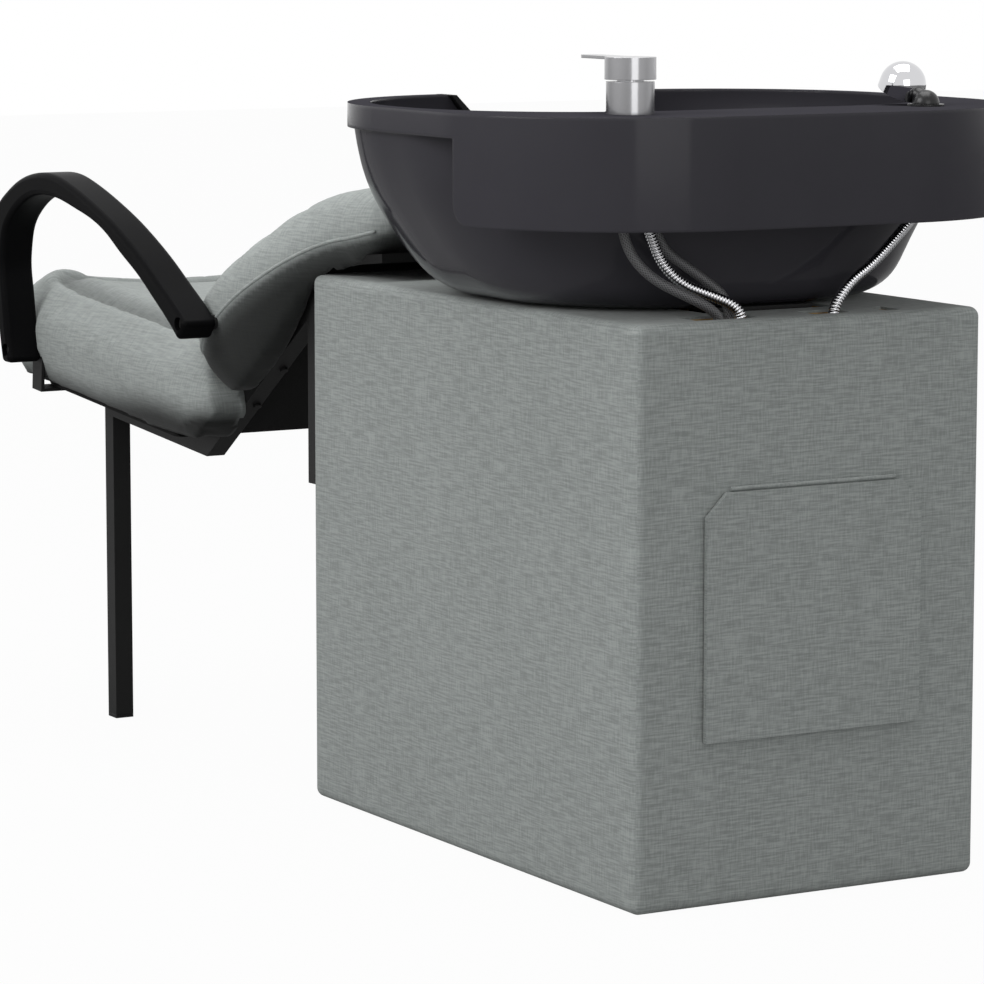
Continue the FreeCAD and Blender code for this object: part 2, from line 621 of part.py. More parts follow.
def make_flap_hinge():
    """Three knuckles on the fixed leaf, two on the moving leaf, and the pin through them."""
    knuckles = 5
    pitch = f"hinge_length / {knuckles}"
    start = "-hinge_length / 2"
    leaf_low = "flap_hinge_z - leaf_height"
    rows = {"fixed": ("cabinet_rear", []), "moving": ("cabinet_rear + leaf_thickness + soft_gap", [])}
    for place in range(knuckles):
        owner = ("fixed", "moving")[place % 2]
        base = (f"{start} + {place} * {pitch} + soft_gap / 2", "flap_hinge_y", "flap_hinge_z")
        knuckle = rod(f"Knuckle{place}", base, "knuckle_radius", f"{pitch} - soft_gap", X_AXIS)
        rows[owner][1].append(knuckle)
    for owner, (face, knuckle_rods) in rows.items():
        low = (start, f"{face}", leaf_low)
        leaf = block(f"Leaf{owner}", low, ("hinge_length", "leaf_thickness", "leaf_height"))
        gaps = [rod(f"LeafGap{owner}{place}",
                    (f"{start} + {place} * {pitch} - soft_gap / 2", "flap_hinge_y", "flap_hinge_z"),
                    "knuckle_radius + soft_gap", f"{pitch} + soft_gap", X_AXIS)
                for place in range(knuckles) if ("fixed", "moving")[place % 2] != owner]
        trimmed = cut(f"LeafTrimmed{owner}", leaf, fuse(f"LeafGaps{owner}", gaps))
        bore = rod(f"LeafBore{owner}", (f"{start} - overrun", "flap_hinge_y", "flap_hinge_z"),
                   "hinge_pin_radius + fit_gap", "hinge_length + 2 * overrun", X_AXIS)
        solid = cut(f"HingeLeaf{owner}", fuse(f"LeafRaw{owner}", [trimmed] + knuckle_rods), bore)
        keep(solid, f"flap_hinge_{owner}_leaf")
    pin = rod("HingePin", (start, "flap_hinge_y", "flap_hinge_z"), "hinge_pin_radius", "hinge_length", X_AXIS)
    keep(pin, "flap_hinge_pin")


# Basin

# Rows from top to bottom: height over the bowl floor, half width, front and rear inset, and
# corner, as shares of the bowl depth, half basin width, basin length, again, and rim radius
BOWL_OUTSIDE_SHARES = [
    (0.979, 0.987, 0.007, 0.171, 0.98), (0.796, 0.975, 0.009, 0.171, 1.0),
    (0.581, 0.938, 0.018, 0.172, 0.975), (0.450, 0.900, 0.031, 0.174, 0.95),
    (0.346, 0.861, 0.044, 0.177, 0.927), (0.220, 0.810, 0.060, 0.181, 0.90),
    (0.089, 0.732, 0.088, 0.186, 0.83), (0.021, 0.657, 0.104, 0.205, 0.78),
    (0.0, 0.605, 0.118, 0.227, 0.73),
]
BOWL_INSIDE_SHARES = [
    (1.03, 0.925, 0.040, 0.233, 0.927), (0.885, 0.941, 0.034, 0.216, 0.951),
    (0.675, 0.922, 0.038, 0.200, 0.951), (0.450, 0.868, 0.052, 0.194, 0.912),
    (0.283, 0.804, 0.068, 0.202, 0.888), (0.141, 0.712, 0.098, 0.220, 0.805),
    (0.075, 0.614, 0.132, 0.249, 0.732), (0.0445, 0.523, 0.166, 0.284, 0.634),
]


def bowl_solid(shares):
    """A lofted bowl through level sections."""
    wires = []
    for height, half, front, rear, corner in shares:
        wires.append(plan_wire(half * D.basin_width / 2, D.basin_front + front * D.basin_length,
                               D.basin_rear - rear * D.basin_length, corner * D.rim_radius,
                               D.bowl_low + height * D.bowl_depth))
    return Part.makeLoft(wires, True)


def rim_prism(inset, low, high):
    """The plan of the rim, set in by an amount, between two heights."""
    wire = plan_wire(D.basin_width / 2 - inset, D.basin_front + inset, D.basin_rear - inset,
                     D.rim_radius - inset, low)
    return prism(wire, Z_AXIS * (high - low))


def apron_cutter():
    """What the rim leaves open ahead of the apron, with the apron's rounded lower corner."""
    lip_low = D.rim_height - 3 * D.wall
    front, low, corner = D.apron_front, D.apron_low, D.apron_corner
    beyond = D.basin_front - D.overrun
    slant = corner * (1 - math.sqrt(0.5))
    side = D.basin_width / 2 + D.overrun
    path = [Vector(side, y, z) for y, z in (
        (beyond, lip_low), (front, lip_low), (front, low + corner), (front + slant, low + slant),
        (front + corner, low), (front + corner, low - D.overrun), (beyond, low - D.overrun))]
    edges = [Part.makeLine(path[0], path[1]), Part.makeLine(path[1], path[2]),
             Part.Arc(path[2], path[3], path[4]).toShape(), Part.makeLine(path[4], path[5]),
             Part.makeLine(path[5], path[6]), Part.makeLine(path[6], path[0])]
    return prism(Part.Wire(edges), X_AXIS * (-2 * side))


def notch_prism(inset, top):
    """The neck notch across the front wall, set in by an amount, up to a height."""
    floor = D.rim_height - D.notch_depth + inset
    shoulder = floor + D.wall
    low_half, high_half = D.notch_bottom_width / 2 - inset, D.notch_top_width / 2 - inset
    reach = high_half + (high_half - low_half) * (top - D.rim_height) / (D.rim_height - shoulder)
    front = D.basin_front - D.overrun
    points = [Vector(x, front, z) for x, z in (
        (reach, top), (low_half, shoulder), (0, floor), (-low_half, shoulder), (-reach, top))]
    edges = [Part.makeLine(points[0], points[1]), Part.Arc(*points[1:4]).toShape(),
             Part.makeLine(points[3], points[4]), Part.makeLine(points[4], points[0])]
    return prism(Part.Wire(edges), Y_AXIS * (D.basin_length * 0.25))


def upright(x, y, low, high, radius):
    """A vertical rod between two heights."""
    return Part.makeCylinder(radius, high - low, Vector(x, y, low))


def ring(x, y, low, high, radius, bore):
    """A vertical ring between two heights."""
    hole = upright(x, y, low - D.overrun, high + D.overrun, bore)
    return upright(x, y, low, high, radius).cut(hole)


def make_basin():
    """Glazed shell with rim, deck and apron; neck rest; waste parts below."""
    tray = rim_prism(0, D.apron_low, D.rim_height).cut(
        rim_prism(D.wall, D.apron_low - D.overrun, D.deck_low))
    shell = tray.cut(apron_cutter()).fuse(bowl_solid(BOWL_OUTSIDE_SHARES))
    shell = shell.cut(bowl_solid(BOWL_INSIDE_SHARES)).cut(notch_prism(0, D.rim_height + D.overrun))
    holes = [
        upright(0, D.drain_y, D.bowl_low - D.overrun, D.bowl_low + D.bowl_depth / 2, D.drain_radius),
        upright(D.fitting_spread, D.fitting_y, D.deck_low - D.overrun, D.rim_height + D.overrun,
                D.shank_radius + D.deck_hole_gap),
        upright(-D.fitting_spread, D.fitting_y, D.deck_low - D.overrun, D.rim_height + D.overrun,
                D.holder_radius + D.deck_hole_gap),
    ]
    shell = shell.cut(Part.makeCompound(holes)).removeSplitter()
    formed("BasinShell", shell.Solids[0], "basin_shell")
    pad_front = D.basin_front - D.pad_thickness / 2
    pad_span = block_shape(-D.notch_top_width, D.notch_top_width, pad_front,
                           D.basin_front + 4 * D.pad_thickness, D.deck_low - D.notch_depth, D.rim_height)
    pad = notch_prism(D.soft_gap, D.rim_height + D.overrun).cut(
        notch_prism(D.pad_thickness, D.rim_height + D.overrun)).common(pad_span)
    formed("NeckRest", pad.Solids[0], "neck_rest")
    make_waste()


def block_shape(left, right, front, rear, low, high):
    """A box between two corners."""
    return Part.makeBox(right - left, rear - front, high - low, Vector(left, front, low))


def make_waste():
    """Flange in the drain, lift-out strainer, and the threaded tail with its nut."""
    seat_top = D.bowl_low + BOWL_INSIDE_SHARES[-1][0] * D.bowl_depth
    y, wall = D.drain_y, D.waste_wall
    inner = D.tail_radius - wall
    top = seat_top + D.flange_thickness
    rim_part = ring(0, y, seat_top, top, D.flange_radius, inner)
    throat = ring(0, y, D.bowl_low - D.plate_thickness, top, D.tail_radius, inner)
    formed("WasteFlange", rim_part.fuse(throat).removeSplitter(), "waste_flange")
    cup_radius = inner - wall / 2
    cup_low = top - D.strainer_depth
    cup = upright(0, y, cup_low, top, cup_radius).cut(
        upright(0, y, cup_low + wall / 2, top + D.overrun, cup_radius - wall / 2))
    lip = ring(0, y, top, top + wall / 2, D.drain_radius, cup_radius - wall / 2)
    slots = Part.makeCompound([
        block_shape(-wall / 2, wall / 2, y - cup_radius - wall, y + cup_radius + wall,
                    cup_low + wall, top - wall).rotated(Vector(0, y, 0), Z_AXIS, turn)
        for turn in range(0, 180, 30)])
    formed("HairStrainer", cup.fuse(lip).cut(slots).removeSplitter(), "hair_strainer")
    plate_low = D.bowl_low - D.plate_thickness
    tail_low = D.bowl_low - D.tail_length
    tail = ring(0, y, tail_low, plate_low, D.tail_radius, inner)
    nut = ring(0, y, plate_low - D.tail_nut_height, plate_low, D.tail_nut_radius, inner)
    formed("WasteTail", tail.fuse(nut).removeSplitter(), "waste_tail")


def make_tilt():
    """Steel plate with lugs under the bowl, the bracket it tilts in, its bolt and the buffers."""
    plate_half, t = D.plate_width / 2, D.plate_thickness
    low = D.bowl_low - t
    plate = block_shape(-plate_half, plate_half, D.plate_rear - D.plate_length, D.plate_rear, low, D.bowl_low)
    plate = plate.cut(upright(0, D.drain_y, low - D.overrun, D.bowl_low + D.overrun,
                              D.tail_radius + D.deck_hole_gap))
    foot = D.pivot_z - D.lug_below_pivot
    bore = Part.makeCylinder(D.pivot_radius + D.fit_gap, 4 * plate_half,
                             Vector(-2 * plate_half, D.pivot_y, D.pivot_z), X_AXIS)
    lugs, cheeks = [], []
    for side in (-1, 1):
        outer = side * plate_half
        inner = outer - side * t
        lugs.append(block_shape(min(outer, inner), max(outer, inner), D.plate_rear - D.lug_length,
                                D.plate_rear, foot, low))
        near = outer + side * D.bracket_side_gap
        far = near + side * t
        edge = near + side * D.bracket_flange
        front, rear = D.pivot_y - D.bracket_length / 2, D.pivot_y + D.bracket_length / 2
        cheek = block_shape(min(near, far), max(near, far), front, rear, foot, D.inner_top)
        flange = block_shape(min(near, edge), max(near, edge), front, rear, D.inner_top - t, D.inner_top)
        cheeks.append(cheek.fuse(flange).cut(bore).removeSplitter())
    mount = plate.fuse(lugs).cut(bore).removeSplitter()
    formed("BasinMountPlate", mount, "basin_mount_plate")
    formed("TiltBracket", Part.makeCompound(cheeks), "tilt_bracket")
    reach = plate_half + D.bracket_side_gap + t
    shaft = Part.makeCylinder(D.pivot_radius, 2 * reach, Vector(-reach, D.pivot_y, D.pivot_z), X_AXIS)
    heads = [Part.makeCylinder(D.pivot_head_radius, D.pivot_head_height,
                               Vector(x, D.pivot_y, D.pivot_z), X_AXIS)
             for x in (-reach - D.pivot_head_height, reach)]
    formed("TiltPivotBolt", shaft.fuse(heads).removeSplitter(), "tilt_pivot_bolt")
    buffers = [rod(f"Buffer{place}", (f"{side}buffer_spread", "basin_front + buffer_reach", "cabinet_top"),
                   "buffer_radius", "bowl_gap") for place, side in enumerate(("", "-"))]
    keep(group("RestBuffers", buffers), "rest_buffers")


# Mixer and hand shower


def make_mixer():
    """Body with its shank, nut, cartridge, and the cap with stem and flat lever."""
    x, y = D.fitting_spread, D.fitting_y
    shank_low = D.rim_height - D.shank_length
    bottom = D.body_top - D.cartridge_depth
    body = upright(x, y, D.rim_height, D.body_top, D.mixer_radius).fuse(
        upright(x, y, shank_low, D.rim_height, D.shank_radius))
    body = body.cut(upright(x, y, bottom, D.body_top + D.overrun, D.cartridge_radius + D.fit_gap))
    formed("MixerBody", body.removeSplitter(), "mixer_body")
    formed("MixerNut", ring(x, y, D.deck_low - D.shank_nut_height, D.deck_low, D.shank_nut_radius,
                            D.shank_radius + D.fit_gap), "mixer_fixing_nut")
    lean = math.radians(D.lever_lift)
    top = D.body_top + D.cartridge_height
    half_gap = D.stem_radius + D.soft_gap
    stem_low = D.stem_pin_z - 2 * D.stem_radius
    sweep = half_gap + (top - D.stem_pin_z) * math.tan(lean)
    slot_low = stem_low - D.soft_gap * 4
    slot = block_shape(x - half_gap, x + half_gap, y - half_gap - D.stem_radius, y + sweep, slot_low,
                       top + D.overrun)
    neck = upright(x, y, bottom, top, D.cartridge_radius).cut(slot)
    pin_reach = half_gap + D.stem_radius
    pin = Part.makeCylinder(D.stem_pin_radius, 2 * pin_reach, Vector(x - pin_reach, y, D.stem_pin_z), X_AXIS)
    formed("MixerCartridge", neck.fuse(pin).removeSplitter(), "mixer_cartridge")
    skirt = ring(x, y, D.cap_low, D.cap_top - D.cap_wall, D.cap_radius, D.cap_radius - D.cap_wall)
    roof = upright(x, y, D.cap_top - D.cap_wall, D.cap_top, D.cap_radius)
    stem = upright(x, y, stem_low, D.cap_top - D.cap_wall, D.stem_radius)
    stem = stem.cut(Part.makeCylinder(D.stem_pin_radius + D.fit_gap, 2 * pin_reach,
                                      Vector(x - pin_reach, y, D.stem_pin_z), X_AXIS))
    round_end = D.lever_width / 2
    lever_low = D.cap_top - D.lever_thickness
    lever = block_shape(x - round_end, x + round_end, y + round_end - D.lever_length,
                        y - D.cap_radius + D.cap_wall, lever_low, D.cap_top)
    tip = upright(x, y + round_end - D.lever_length, lever_low, D.cap_top, round_end)
    formed("MixerCap", skirt.fuse([roof, stem, lever, tip]).removeSplitter(), "mixer_cap_lever")


# Radius of the neck between handle and head, as a share of the handle's
NECK_SHARE = 0.7


def make_hand_shower():
    """Holder through the deck, black handle with its dome, chrome bell head and spray plate."""
    x, y = -D.fitting_spread, D.fitting_y
    flange_top = D.rim_height + D.holder_flange_height
    sleeve_low = flange_top - D.holder_length
    flange = ring(x, y, D.rim_height, flange_top, D.holder_flange_radius, D.holder_bore)
    sleeve = ring(x, y, sleeve_low, flange_top, D.holder_radius, D.holder_bore)
    formed("ShowerHolder", flange.fuse(sleeve).removeSplitter(), "shower_holder")
    formed("HolderNut", ring(x, y, D.deck_low - D.shank_nut_height, D.deck_low, D.shank_nut_radius,
                             D.holder_radius + D.fit_gap), "shower_holder_nut")
    dome = D.handle_dome_radius
    dome_low = flange_top + D.soft_gap
    handle = upright(x, y, D.rim_height - D.handle_length, dome_low, D.handle_radius)
    ball = Part.makeSphere(dome, Vector(x, y, dome_low)).common(
        block_shape(x - dome, x + dome, y - dome, y + dome, dome_low, dome_low + dome))
    lean = math.radians(D.head_lean)
    sideways = D.head_inward / D.head_reach
    downward = Vector(sideways * math.sin(lean), -math.sin(lean), -math.cos(lean)).normalize()
    centre = Vector(x + D.head_inward, y - D.head_reach, D.rim_height + D.head_height)
    shell_thickness = D.cap_wall
    bell = Part.makeSphere(D.head_radius, centre)
    upper = turned([(0, -D.head_radius - D.overrun), (D.head_radius + D.overrun, -D.head_radius - D.overrun),
                    (D.head_radius + D.overrun, 0), (0, 0)], centre, downward)
    skirt = turned([(0, 0), (D.head_radius, 0), (D.head_radius, D.head_skirt), (0, D.head_skirt)],
                   centre, downward)
    full = bell.common(upper).fuse(skirt).removeSplitter()
    inside, plate_top = D.head_radius - shell_thickness, D.head_skirt - D.spray_thickness - shell_thickness
    recess = turned([(0, plate_top), (inside, plate_top), (inside, D.head_skirt + D.overrun),
                     (0, D.head_skirt + D.overrun)], centre, downward)
    neck_radius = D.handle_radius * NECK_SHARE
    joint = Part.makeCylinder(neck_radius, (centre - Vector(x, y, dome_low + dome / 3)).Length,
                              Vector(x, y, dome_low + dome / 3), centre - Vector(x, y, dome_low + dome / 3))
    grip = handle.fuse([ball, joint]).cut(full).removeSplitter()
    formed("ShowerHandle", max(grip.Solids, key=lambda solid: solid.Volume), "shower_handle")
    formed("ShowerHead", full.cut(recess), "shower_head")
    plate_low = D.head_skirt - shell_thickness
    plate = turned([(0, plate_top), (D.spray_radius, plate_top), (D.spray_radius, plate_low), (0, plate_low)],
                   centre, downward)
    formed("SprayPlate", plate, "shower_spray_plate")
    formed("HoseEnd", upright(x, y, D.hose_start_z, D.rim_height - D.handle_length, D.hose_end_radius),
           "shower_hose_end")


# Chair frame

RAIL_ANGLE = math.atan2(D.rail_drop, D.rail_length)
BACK_ANGLE = math.radians(D.back_pitch)


def side_point(y, z):
    """A point of the side view, in the middle plane."""
    return Vector(0, y, z)


def along(angle, amount):
    """A step in the side view at an angle above level, to the rear."""
    return Vector(0, amount * math.cos(angle), amount * math.sin(angle))


def inside_bend(depth):
    """The corner between rail and back tube, at a depth inside the outer faces."""
    turn = math.sin(RAIL_ANGLE + BACK_ANGLE)
    return side_point(
        D.rail_length - D.leg_front + depth * (math.cos(BACK_ANGLE) - math.cos(RAIL_ANGLE)) / turn,
        D.rail_front_height - D.rail_drop + depth * (math.sin(BACK_ANGLE) + math.sin(RAIL_ANGLE)) / turn)


BEND_TOP = inside_bend(D.tube)
SEAT_FRAME = Placement(BEND_TOP, Rotation(X_AXIS, -math.degrees(RAIL_ANGLE)))
BACK_FRAME = Placement(BEND_TOP, Rotation(X_AXIS, D.back_pitch))


def outline_prism(points, left, right):
    """A polygon of the side view pushed across from left to right."""
    shifted = [point + X_AXIS * left for point in points]
    return prism(Part.makePolygon(shifted + shifted[:1]), X_AXIS * (right - left))


def rail_low(y):
    """Height of the underside of the seat rail."""
    return D.rail_front_height - (y + D.leg_front) * D.rail_drop / D.rail_length


def back_height(start, y):
    """Height at y of the back tube's line through a point."""
    return start.z + (y - start.y) * math.tan(BACK_ANGLE)


def frame_outline(wall):
    """Seat rail, back tube and wall post in one outline, set in by a wall."""
    skew, lift = wall / math.cos(RAIL_ANGLE), wall / math.cos(BACK_ANGLE)
    low, top = inside_bend(wall), inside_bend(D.tube - wall)
    front_face, rear_face = D.post_front + wall, D.post_rear - wall
    end = D.post_bottom - (D.overrun if wall else 0)
    start = -D.leg_front - (D.overrun if wall else 0)
    rail_skew = D.tube / math.cos(RAIL_ANGLE)
    return [
        side_point(start, rail_low(start) + skew), low,
        side_point(front_face, back_height(inside_bend(0), front_face) + lift),
        side_point(front_face, end), side_point(rear_face, end),
        side_point(rear_face, back_height(BEND_TOP, rear_face) - lift),
        top, side_point(start, rail_low(start) + rail_skew - skew),
    ]


def make_frame():
    """Two welded side frames of square tube, legs with feet, cross tubes, spacers and bolts."""
    outer, inner, wall = D.frame_half_width, D.frame_inner, D.tube_wall
    middle = (outer + inner) / 2
    bolt_zs = (D.post_bottom + D.bolt_inset, D.post_upper_bolt)
    holes = [Part.makeCylinder(D.bolt_radius + D.fit_gap, 3 * D.tube,
                               Vector(middle, D.post_front - D.tube, z), Y_AXIS) for z in bolt_zs]
    holes += [screw_shape(point, direction, D.board_screw_radius + D.fit_gap, D.tube + D.overrun, D.overrun)
              for point, direction in board_screw_places(1)]
    solid = outline_prism(frame_outline(0), inner, outer)
    hollow = outline_prism(frame_outline(wall), inner + wall, outer - wall)
    left = solid.cut(hollow).cut(Part.makeCompound(holes)).removeSplitter()
    formed("SideFrameLeft", left, "side_frame_left")
    formed("SideFrameRight", left.mirror(Vector(), X_AXIS), "side_frame_right")
    rear = -D.leg_front + D.tube
    legs, caps = [], []
    for side in (-1, 1):
        start, end = sorted((side * inner, side * outer))
        corners = [(-D.leg_front, D.foot_cap), (rear, D.foot_cap), (rear, rail_low(rear)),
                   (-D.leg_front, rail_low(-D.leg_front))]
        leg = outline_prism([side_point(y, z) for y, z in corners], start, end)
        legs.append(leg.cut(block_shape(start + wall, end - wall, -D.leg_front + wall, rear - wall,
                                        D.foot_cap - D.overrun, rail_low(rear) - wall)))
        caps.append(block_shape(start, end, -D.leg_front, rear, 0, D.foot_cap))
    formed("FrontLegs", Part.makeCompound(legs), "front_legs")
    formed("FootCaps", Part.makeCompound(caps), "leg_foot_caps")
    edge = D.tube_wall
    front_tube = block_shape(-inner, inner, -D.leg_front + edge, rear - edge, rail_low(rear) + 2 * edge,
                             rail_low(rear) + D.tube - edge)
    post_tube = block_shape(-inner, inner, D.post_front + edge, D.post_rear - edge, D.post_bottom + edge,
                            D.post_bottom + D.tube - edge)
    formed("CrossTubes", Part.makeCompound([front_tube, post_tube]), "frame_cross_tubes")
    spacers, bolts = [], []
    for side in (-1, 1):
        for z in bolt_zs:
            x = side * middle
            axis_start = Vector(x, D.post_rear, z)
            tube = Part.makeCylinder(D.bolt_head_radius, D.post_gap, axis_start, Y_AXIS)
            bore = Part.makeCylinder(D.bolt_radius + D.fit_gap, D.post_gap + 2 * D.overrun,
                                     axis_start - Y_AXIS * D.overrun, Y_AXIS)
            spacers.append(tube.cut(bore))
            head = Part.makeCylinder(D.bolt_head_radius, D.bolt_head_height,
                                     Vector(x, D.post_front - D.bolt_head_height, z), Y_AXIS)
            shank = Part.makeCylinder(D.bolt_radius, D.tube + D.post_gap + D.bolt_reach,
                                      Vector(x, D.post_front, z), Y_AXIS)
            bolts.append(head.fuse(shank).removeSplitter())
    formed("PostSpacers", Part.makeCompound(spacers), "post_spacers")
    formed("PostBolts", Part.makeCompound(bolts), "post_bolts")


def board_screw_places(side):
    """Points on the undersides of rail and back tube, with the way the screws go in."""
    x = side * (D.frame_inner + D.board_screw_head + D.tube_wall)
    up_seat = SEAT_FRAME.Rotation.multVec(Z_AXIS)
    up_back = BACK_FRAME.Rotation.multVec(Z_AXIS)
    seat_reach = (D.rail_length - D.board_screw_inset) / math.cos(RAIL_ANGLE)
    rows = []
    for spot in (-seat_reach, -2 * D.board_screw_inset):
        rows.append((SEAT_FRAME.multVec(Vector(x, spot, -D.tube)), up_seat))
    for spot in (D.back_start + D.board_screw_inset, D.back_start + 3 * D.board_screw_inset):
        rows.append((BACK_FRAME.multVec(Vector(x, spot, -D.tube)), up_back))
    return rows


def screw_shape(point, direction, radius, length, lead=0):
    """A plain rod from a point along a direction, started earlier by a lead."""
    return Part.makeCylinder(radius, length + lead, point - direction * lead, direction)


def placed(shape, frame):
    """A copy of a shape moved into a frame."""
    copy = shape.copy()
    copy.transformShape(frame.toMatrix())
    return copy


def make_board_screws():
    """Screws through rails and back tubes into the seat and back boards."""
    screws = []
    for side in (-1, 1):
        for place, (point, direction) in enumerate(board_screw_places(side)):
            board = D.seat_board_thickness if place < 2 else D.back_board_thickness
            shank = screw_shape(point, direction, D.board_screw_radius, D.tube + board / 2)
            head = screw_shape(point - direction * D.board_screw_head_height, direction,
                               D.board_screw_head, D.board_screw_head_height)
            screws.append(head.fuse(shank).removeSplitter())
    strap_reach = D.arm_plate + D.under_cover_thickness + D.seat_board_thickness / 2
    strap_heads = strap_screw_shapes(D.board_screw_head, -D.board_screw_head_height)
    strap_shanks = strap_screw_shapes(D.board_screw_radius, strap_reach)
    screws += [head.fuse(shank).removeSplitter()
               for head, shank in zip(strap_heads.Solids, strap_shanks.Solids)]
    formed("BoardScrews", Part.makeCompound(screws), "board_screws")
    holes = [screw_shape(point, direction, D.board_screw_radius + D.fit_gap, 2 * D.tube)
             for side in (-1, 1) for point, direction in board_screw_places(side)]
    return Part.makeCompound(holes + strap_screw_shapes(D.board_screw_radius + D.fit_gap).Solids)


# Upholstery

# Stations from front to rear: distance, half width, underside and crown, as shares of the
# seat length, half width, and twice the thickness
SEAT_SHARES = [
    (0.0, 0.62, 0.24, 0.62), (0.015, 0.71, 0.13, 0.78), (0.05, 0.82, 0.05, 0.91),
    (0.12, 0.93, 0.01, 0.98), (0.24, 0.99, 0.0, 1.0), (0.45, 1.0, 0.0, 1.0),
    (0.7, 0.995, 0.0, 0.99), (0.88, 0.98, 0.0, 0.97), (1.0, 0.95, 0.02, 0.95),
]
# Half widths and heights of the seat section: foot, belly, crease, shoulder and dip, as
# shares of half width and thickness
SEAT_SECTION_SHARES = {
    "foot": (0.93, 0.0), "belly": (1.0, 0.40), "crease": (0.885, 0.87),
    "ridge": (0.80, 0.965), "shoulder": (0.62, 1.0), "dip": (0.0, 0.93),
}
BACK_SHARES = [
    (0.0, 0.90, 0.42, 0.78), (0.012, 0.945, 0.22, 0.89), (0.04, 0.98, 0.06, 0.97),
    (0.10, 1.0, 0.0, 1.0), (0.28, 1.0, 0.0, 1.01), (0.46, 0.965, 0.0, 1.0),
    (0.64, 0.92, 0.0, 0.99), (0.84, 0.885, 0.0, 0.97), (0.95, 0.87, 0.03, 0.93),
    (0.985, 0.84, 0.14, 0.84), (1.0, 0.80, 0.30, 0.70),
]
BACK_SECTION_SHARES = {
    "foot": (0.84, 0.0), "flank": (0.945, 0.13), "seam": (1.0, 0.30),
    "belly": (0.975, 0.66), "crease": (0.86, 0.90), "dip": (0.0, 1.0),
}


def seat_front_local():
    """Front of the seat along its own frame, where the lowest point of its front end is foremost."""
    base = D.under_cover_thickness + D.seat_board_thickness + D.soft_gap
    height = base + SEAT_SHARES[0][2] * D.seat_thickness
    return (D.seat_front - BEND_TOP.y - height * math.sin(RAIL_ANGLE)) / math.cos(RAIL_ANGLE)


def seat_section(distance, width_share, low_share, high_share):
    """A closed section of the seat cushion across its frame."""
    base = D.under_cover_thickness + D.seat_board_thickness + D.soft_gap
    low = base + low_share * D.seat_thickness
    tall = high_share * D.seat_thickness - (low - base)

    def spot(name, side=1):
        half, height = SEAT_SECTION_SHARES[name]
        return Vector(side * half * width_share * D.seat_half_width, distance, low + height * tall)
    edges = [
        Part.makeLine(spot("foot", -1), spot("foot")),
        Part.Arc(spot("foot"), spot("belly"), spot("crease")).toShape(),
        Part.Arc(spot("crease"), spot("ridge"), spot("shoulder")).toShape(),
        Part.Arc(spot("shoulder"), spot("dip"), spot("shoulder", -1)).toShape(),
        Part.Arc(spot("shoulder", -1), spot("ridge", -1), spot("crease", -1)).toShape(),
        Part.Arc(spot("crease", -1), spot("belly", -1), spot("foot", -1)).toShape(),
    ]
    return placed(Part.Wire(edges), SEAT_FRAME)


def make_seat(screw_holes):
    """Plywood board, black tray under it, and the contoured cushion with its creases."""
    front = seat_front_local()
    inset = D.seat_board_inset
    half = D.seat_half_width - inset
    cloth, board = D.under_cover_thickness, D.seat_board_thickness
    board_front, board_rear = front + inset, -cloth
    corner = D.seat_corner
    board_wire = plan_wire(half, board_front, board_rear, corner, cloth, board)
    solid = placed(prism(board_wire, Z_AXIS * board), SEAT_FRAME).cut(screw_holes)
    formed("SeatBoard", solid, "seat_board")
    plan = plan_wire(half + 2 * cloth, board_front - 2 * cloth, board_rear, corner + 2 * cloth, 0, board)
    outer = prism(plan, Z_AXIS * (cloth + board - cloth / 2))
    pocket = prism(plan_wire(half + D.soft_gap, board_front - D.soft_gap, board_rear + D.overrun,
                             corner, cloth, board), Z_AXIS * (board + D.overrun))
    tray = placed(outer.cut(pocket), SEAT_FRAME).cut(screw_holes)
    formed("SeatTray", tray, "seat_bottom_cover")
    seat_length = -front + D.back_start
    cushion = Part.makeLoft([seat_section(front + share * seat_length, *rest)
                             for share, *rest in SEAT_SHARES], True)
    above = placed(block_shape(-2 * half, 2 * half, D.back_start - D.soft_gap, 2 * seat_length,
                               -seat_length, 2 * seat_length), BACK_FRAME)
    under_back = placed(block_shape(-2 * half, 2 * half, 0, seat_length, -seat_length, cloth + D.soft_gap),
                        BACK_FRAME)
    cushion = cushion.cut(under_back).cut(above).cut(arm_plate_shape(D.soft_gap))
    formed("SeatCushion", max(cushion.Solids, key=lambda solid: solid.Volume), "seat_cushion")


def back_spine():
    """Underside of the back in the side view: bend, knee over the cabinet edge, and upper end."""
    knee_y = D.cabinet_front + D.back_knee
    knee = side_point(knee_y, back_height(BEND_TOP, knee_y))
    end_y = D.basin_front - D.back_top_gap
    return BEND_TOP, knee, side_point(end_y, D.cabinet_top + D.back_top_rise)


def spine_layer(start, low, high):
    """Outline of a layer that follows the spine, from a distance up the tube, between heights."""
    bend, knee, end = back_spine()
    upper_angle = math.atan2(end.z - knee.z, end.y - knee.y)
    half_turn = (BACK_ANGLE + upper_angle) / 2
    stretch = 1 / math.cos((BACK_ANGLE - upper_angle) / 2)

    def offset(point, angle, height, scale=1.0):
        return point + side_point(-math.sin(angle), math.cos(angle)) * (height * scale)
    foot = bend + along(BACK_ANGLE, start)
    return [
        offset(foot, BACK_ANGLE, low), offset(knee, half_turn, low, stretch),
        offset(end, upper_angle, low), offset(end, upper_angle, high),
        offset(knee, half_turn, high, stretch), offset(foot, BACK_ANGLE, high),
    ]


